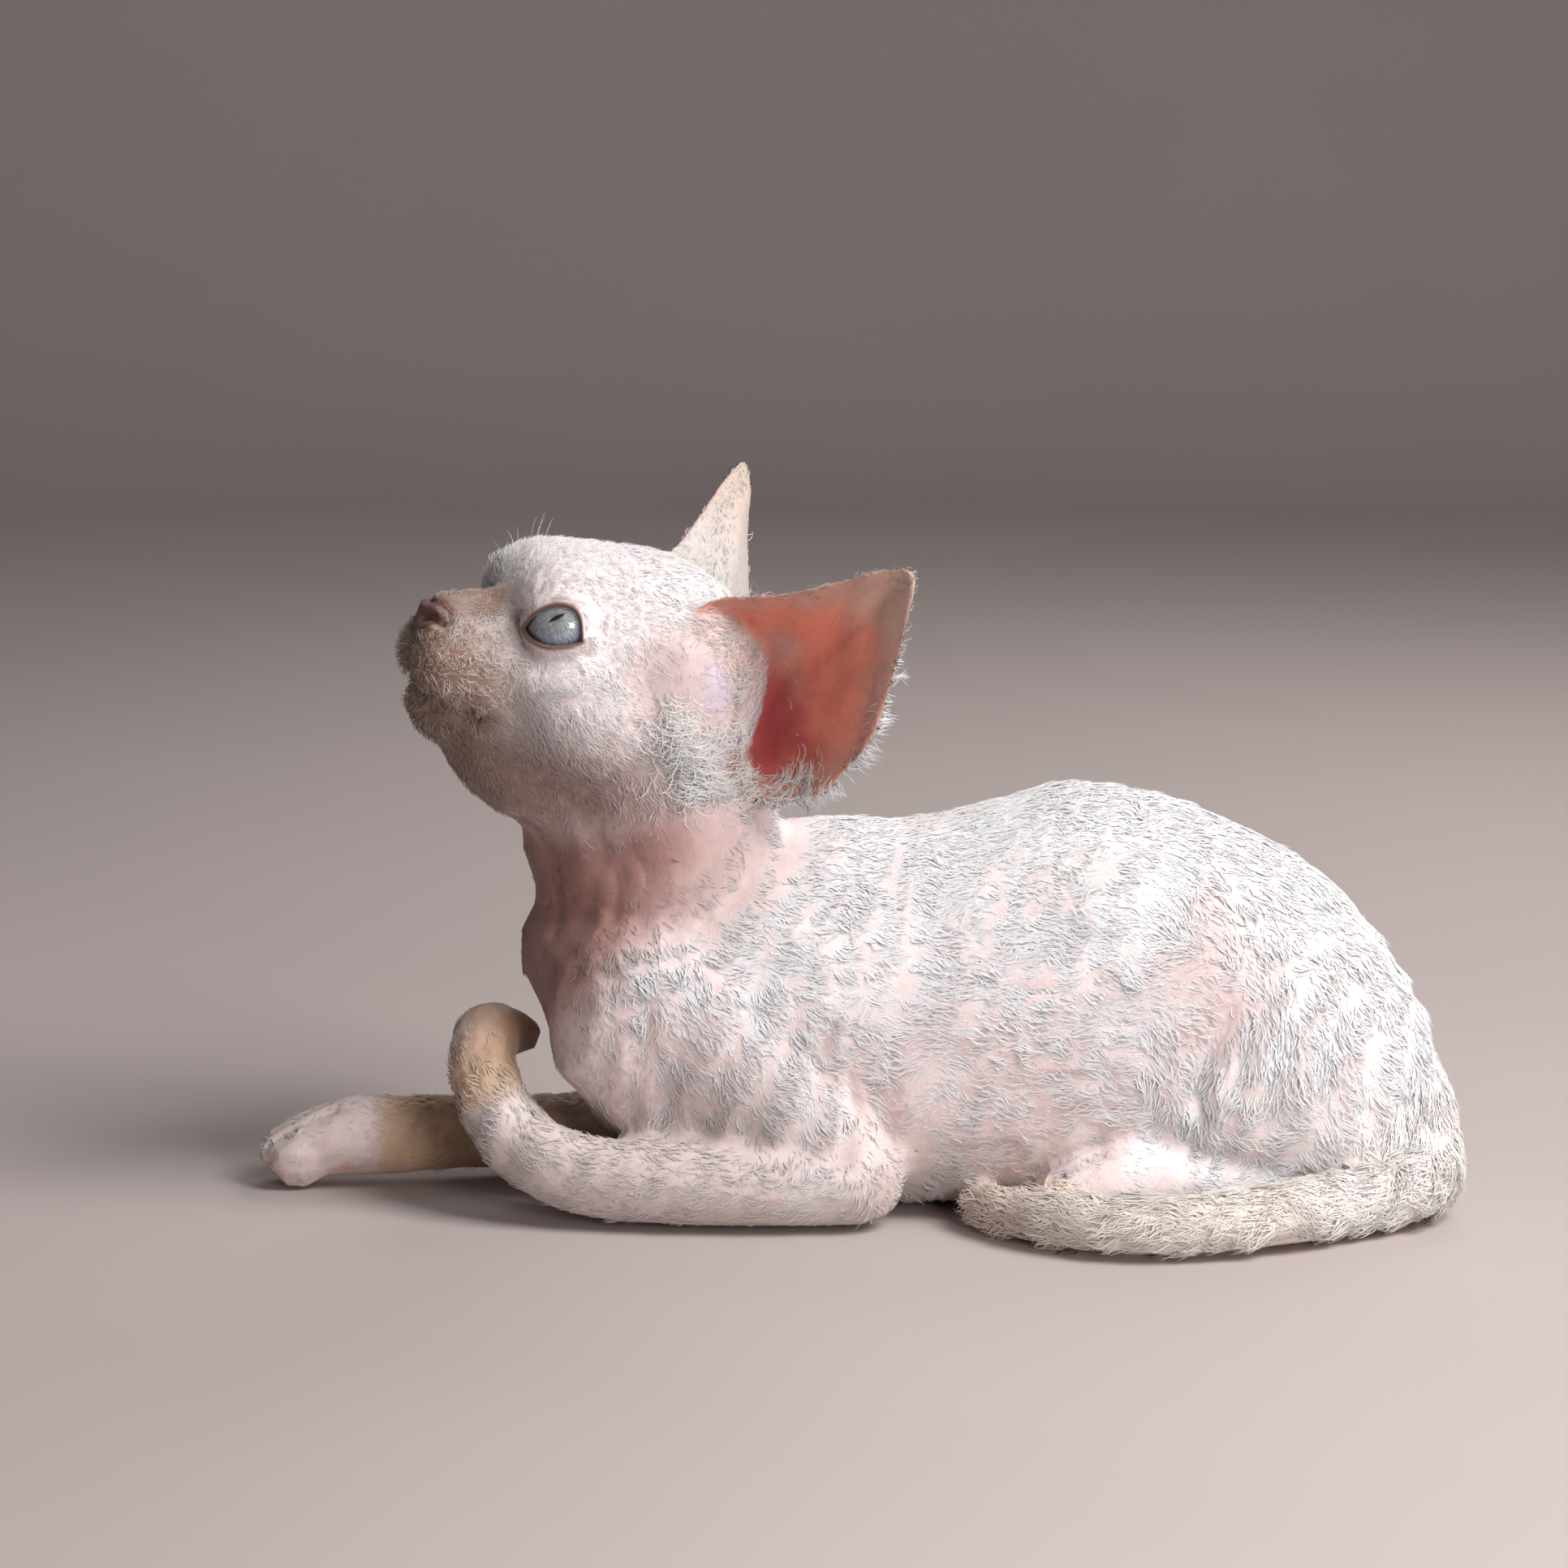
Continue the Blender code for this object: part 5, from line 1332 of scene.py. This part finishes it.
# White fringe on the back of the ear, below its rim, in the same terms
EAR_FRINGE = [
    ((-44, 39, -16), 5.0, 80, (-0.7, 0.0, -0.7), 6.5, 60, 0.20),
    ((-50, 43, -11), 5.0, 80, (-0.8, 0.0, -0.5), 6.5, 60, 0.20),
    ((-52, 49, -2), 5.0, 80, (-0.9, -0.1, -0.3), 6.0, 60, 0.20),
    ((-51, 55, 10), 6.0, 70, (-0.9, -0.1, 0.0), 5.0, 50, 0.18),
    ((-48, 60, 24), 6.0, 60, (-0.9, 0.0, 0.3), 4.0, 50, 0.16),
]
# Whiskers of both sides in the head's axes: root, the way it points, length, bend in degrees, width
WHISKERS = [
    ((45, 9, -8), (0.4, 0.9, -0.3), 5.0, 90, 0.18), ((43, 11, -12), (0.1, 1.0, -0.2), 4.0, 130, 0.18),
    ((46, 8, -13), (0.6, 0.7, -0.5), 3.5, 100, 0.17), ((41, 11, -8), (-0.2, 1.0, 0.2), 4.0, 110, 0.17),
    ((42, 12, -15), (-0.1, 0.9, -0.5), 4.5, 90, 0.18), ((38, 12, -12), (-0.4, 0.9, -0.3), 4.0, 120, 0.17),
    ((47, 6, -10), (0.8, 0.6, 0.1), 3.5, 80, 0.16), ((39, 13, -17), (-0.3, 0.9, -0.4), 4.0, 130, 0.17),
    ((48, 2, -9), (0.9, 0.1, 0.5), 6.0, 50, 0.14), ((48, -3, -8), (0.8, -0.3, 0.6), 7.0, 40, 0.14),
    ((48, 4, -7), (0.9, 0.2, 0.4), 4.5, 70, 0.14), ((46, -8, -9), (0.6, -0.7, 0.3), 7.0, 60, 0.15),
    ((49, -1, -11), (1.0, -0.2, 0.2), 4.0, 60, 0.13), ((48, 5, -12), (0.9, 0.5, 0.3), 3.5, 90, 0.14),
    ((44, -10, -12), (0.4, -0.9, 0.1), 6.0, 120, 0.16), ((43, -11, -8), (0.3, -0.9, 0.3), 6.0, 100, 0.16),
    ((44, 10, -10), (0.3, 0.9, 0.3), 3.5, 140, 0.16), ((40, 12, -10), (-0.3, 0.9, 0.4), 3.5, 90, 0.16),
    ((27, 7, 17), (0.6, 0.1, 0.8), 7.0, 60, 0.17), ((25, 8, 18), (0.4, 0.2, 0.9), 8.0, 70, 0.17),
    ((24, -6, 19), (0.3, -0.1, 1.0), 11.0, -70, 0.19), ((22, -8, 19), (0.1, -0.2, 1.0), 9.0, -80, 0.18),
    ((23, -4, 19), (0.2, -0.1, 1.0), 12.0, -60, 0.19), ((21, -6, 20), (0.0, -0.1, 1.0), 10.0, -90, 0.18),
    ((28, -6, 17), (0.3, 0.1, 1.0), 8.0, 60, 0.18), ((30, -4, 15), (0.5, 0.0, 0.9), 7.0, 50, 0.18),
    ((29, 0, 15), (0.4, 0.1, 0.9), 7.0, -70, 0.18), ((31, -7, 14), (0.6, -0.1, 0.8), 8.0, 60, 0.18),
    ((26, -1, 18), (0.2, 0.0, 1.0), 7.5, -60, 0.18), ((32, -2, 12), (0.7, 0.1, 0.8), 5.0, 80, 0.17),
    ((27, -8, 16), (0.3, -0.2, 1.0), 8.0, 90, 0.18), ((25, 2, 18), (0.1, 0.1, 1.0), 6.0, 80, 0.17),
    ((12, 24, -8), (-0.2, 0.8, -0.6), 7.0, 80, 0.14), ((4, 27, -22), (-0.4, 0.7, -0.6), 9.0, 70, 0.14),
    ((38, 8, -27), (0.2, 0.6, -0.8), 4.0, 90, 0.14), ((36, 4, -30), (0.2, 0.3, -0.9), 4.0, 80, 0.14),
]
WHISKER_WHITE = np.array([0.90, 0.83, 0.75])
LOCK_CREAM = np.array([0.94, 0.88, 0.83])


def bent_lines(roots, along, outward, length, bend, stations):
    """Middle lines of hairs that leave along their direction and turn towards the side: the angle grows to
    the bend as the way along the hair to the power 1.5."""
    side = np.cross(outward, along)
    side /= np.maximum(np.linalg.norm(side, axis=1), 1e-9)[:, None]
    here = roots.copy()
    lines = [here]
    for s in range(stations):
        angle = bend * ((s + 0.5) / stations) ** 1.5
        step = along * np.cos(angle)[:, None] + side * np.sin(angle)[:, None]
        here = here + step * (length / stations)[:, None]
        lines.append(here)
    return np.stack(lines, axis=1)


def seat_on_skin(points):
    """The nearest places on the skin to points, sunk a little, and the directions that they face."""
    found = [skin_tree.find_nearest(Vector(p)) for p in points]
    facing = np.array([f[1] for f in found])
    return np.array([f[0] for f in found]) - facing * 0.4, facing


def locks_of_side(locks, sign, draw):
    """Roots, directions, lengths, bends and widths of the hairs in the locks on one side of the head."""
    rows = []
    for middle, spread, count, way, length, bend, width in locks:
        spots = np.array(middle) + draw.normal(0, spread / 2, (count, 3))
        ways = np.array(way) + draw.normal(0, 0.16, (count, 3))
        turns = np.radians(bend) * draw.uniform(0.5, 1.2, count) * np.where(draw.random(count) < 0.72, 1, -1)
        sizes = np.column_stack([length * draw.uniform(0.55, 1.15, count), turns, np.full(count, width)])
        rows.append(np.hstack([on_head(spots * (1, sign, 1)), (ways * (1, sign, 1)) @ HEAD, sizes]))
    return np.concatenate(rows)


skin_tree = tree_of(skin)
lock_draw = np.random.default_rng(COAT_SEED + 60)
curl_rows = [locks_of_side(EAR_LOCKS, sign, lock_draw) for sign in (1, -1)]
fringe_rows = [locks_of_side(EAR_FRINGE, sign, lock_draw) for sign in (1, -1)]
lock_rows = np.concatenate(curl_rows + fringe_rows)
in_fringe = np.arange(len(lock_rows)) >= sum(len(rows) for rows in curl_rows)
lock_roots, lock_facing = seat_on_skin(lock_rows[:, :3])
lock_ways = lock_rows[:, 3:6] / np.linalg.norm(lock_rows[:, 3:6], axis=1)[:, None]
lock_ways += lock_facing * np.maximum(0.5 - np.einsum("ij,ij->i", lock_ways, lock_facing), 0)[:, None]
lock_ways /= np.linalg.norm(lock_ways, axis=1)[:, None]
lock_lines = bent_lines(lock_roots, lock_ways, lock_facing, lock_rows[:, 6], lock_rows[:, 7], LOCK_LENGTHS)
lock_lines = gather_tips(lock_lines, 9, 0.35, lock_draw)
lock_colours = markings(lock_roots, lock_facing, np.zeros(len(lock_roots)), np.zeros(len(lock_roots)))
lock_colours = mix(lock_colours, LOCK_CREAM, np.full(len(lock_colours), 0.85))
lock_colours = mix(lock_colours, WHITE_HAIR, in_fringe * 0.95)
lighter_tips = np.linspace(0.85, 1, LOCK_LENGTHS + 1)[None, :, None]
lock_colours = lock_colours[:, None].repeat(LOCK_LENGTHS + 1, axis=1) * lighter_tips
curls = grow_tufts("ear_curls", lock_lines, lock_facing, lock_rows[:, 8], lock_colours, 0.5,
                   LIGHT_THROUGH_HAIR)
curls.data.materials.append(soft_coat)
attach(curls, "root")

whisker_roots, whisker_facing = seat_on_skin(on_head([w[0] for w in WHISKERS]))
whisker_ways = np.array([w[1] for w in WHISKERS]) @ HEAD
whisker_ways /= np.linalg.norm(whisker_ways, axis=1)[:, None]
whisker_sizes = np.array([w[2:] for w in WHISKERS], float)
whisker_lines = bent_lines(whisker_roots, whisker_ways, whisker_facing, whisker_sizes[:, 0],
                           np.radians(whisker_sizes[:, 1]), WHISKER_LENGTHS)
whiskers = grow_tufts("whiskers", whisker_lines, whisker_facing, whisker_sizes[:, 2],
                      np.tile(WHISKER_WHITE, (len(WHISKERS), WHISKER_LENGTHS + 1, 1)), 0.55, np.zeros(3))
whiskers.data.materials.append(soft_coat)
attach(whiskers, "root")


# Studio: a pale seamless floor that curves up behind, a large window high on the right, a weaker one behind
# and a small one at the side that lights the near eye. The camera keeps the photograph's framing: a long
# lens, 10 degrees down on the kitten's left side.
CAMERA_PITCH = 10.0
CAMERA_DISTANCE = 1300.0
PICTURE_MIDDLE = (-19.0, 0.0, 104.0)
PICTURE_SIDE = 1932
FOCUS_PIXELS = 6500.0
SENSOR = 36.0
FLOOR_HALF = 3000.0
FLOOR_BEND = 1400.0
FLOOR_CURVE = 500.0
WALL_HEIGHT = 3000.0
KITTEN_MIDDLE = (0, 0, 70)
HEAD_MIDDLE = (-74, -36, 150)


def curved_floor():
    """A strip carried along x: flat to the bend, then a quarter circle up, then straight up."""
    angle = np.linspace(0, math.pi / 2, 17)
    y = np.concatenate([[-FLOOR_HALF], FLOOR_BEND + FLOOR_CURVE * np.sin(angle), [FLOOR_BEND + FLOOR_CURVE]])
    z = np.concatenate([[0], FLOOR_CURVE * (1 - np.cos(angle)), [WALL_HEIGHT]])
    left = np.column_stack([np.full(len(y), -FLOOR_HALF), y, z])
    points = np.concatenate([left, left * (-1, 1, 1)])
    i = np.arange(len(y) - 1)
    faces = np.concatenate([np.column_stack([i, i + len(y), i + len(y) + 1]),
                            np.column_stack([i, i + len(y) + 1, i + 1])])
    return new_mesh("studio_floor", points, faces)


def floor_material():
    """A pale matt paper floor with the faintest unevenness in its tone."""
    material = bpy.data.materials.new("pale_floor")
    material.use_nodes = True
    nodes, links = material.node_tree.nodes, material.node_tree.links
    shader = nodes["Principled BSDF"]
    place = nodes.new("ShaderNodeTexCoord")
    tone = nodes.new("ShaderNodeTexNoise")
    tone.inputs["Scale"].default_value = 6.0
    colours = nodes.new("ShaderNodeValToRGB")
    colours.color_ramp.elements[0].color = (0.44, 0.37, 0.35, 1)
    colours.color_ramp.elements[1].color = (0.47, 0.40, 0.38, 1)
    links.new(place.outputs["Object"], tone.inputs["Vector"])
    links.new(tone.outputs["Fac"], colours.inputs["Fac"])
    links.new(colours.outputs["Color"], shader.inputs["Base Color"])
    shader.inputs["Roughness"].default_value = 0.9
    return material


def soft_light(name, place, target, size, power, colour):
    """A square lamp at a place in millimetres, turned to a target."""
    light = bpy.data.lights.new(name, "AREA")
    light.shape = "SQUARE"
    light.size = size * MM
    light.energy = power
    light.color = colour
    lamp = bpy.data.objects.new(name, light)
    bpy.context.scene.collection.objects.link(lamp)
    lamp.location = Vector(place) * MM
    lamp.rotation_mode = "QUATERNION"
    lamp.rotation_quaternion = (Vector(target) - Vector(place)).to_track_quat("-Z", "Y")
    return lamp


floor = curved_floor()
floor.data.materials.append(floor_material())
soft_light("window", (640, -420, 880), KITTEN_MIDDLE, 560, 15.5, (0.98, 0.99, 1.0))
soft_light("back_window", (300, 700, 700), KITTEN_MIDDLE, 500, 2.6, (1.0, 0.98, 0.97))
soft_light("side_window", (304, -846, 250), HEAD_MIDDLE, 230, 2.8, (0.98, 0.98, 1.0))

world = bpy.data.worlds.new("studio_air")
bpy.context.scene.world = world
world.use_nodes = True
world.node_tree.nodes["Background"].inputs["Color"].default_value = (0.78, 0.79, 0.84, 1)
world.node_tree.nodes["Background"].inputs["Strength"].default_value = 0.21

view_line = np.array([0, math.cos(math.radians(CAMERA_PITCH)), -math.sin(math.radians(CAMERA_PITCH))])
camera_data = bpy.data.cameras.new("camera")
camera_data.sensor_width = SENSOR
camera_data.lens = SENSOR * FOCUS_PIXELS / PICTURE_SIDE
camera_data.clip_start = 0.05
camera_data.clip_end = 20.0
camera = bpy.data.objects.new("camera", camera_data)
bpy.context.scene.collection.objects.link(camera)
camera.location = (np.array(PICTURE_MIDDLE) + SHIFT - view_line * CAMERA_DISTANCE) * MM
camera.rotation_mode = "QUATERNION"
camera.rotation_quaternion = Vector(view_line).to_track_quat("-Z", "Y")
bpy.context.scene.camera = camera
bpy.context.scene.view_settings.view_transform = "Standard"
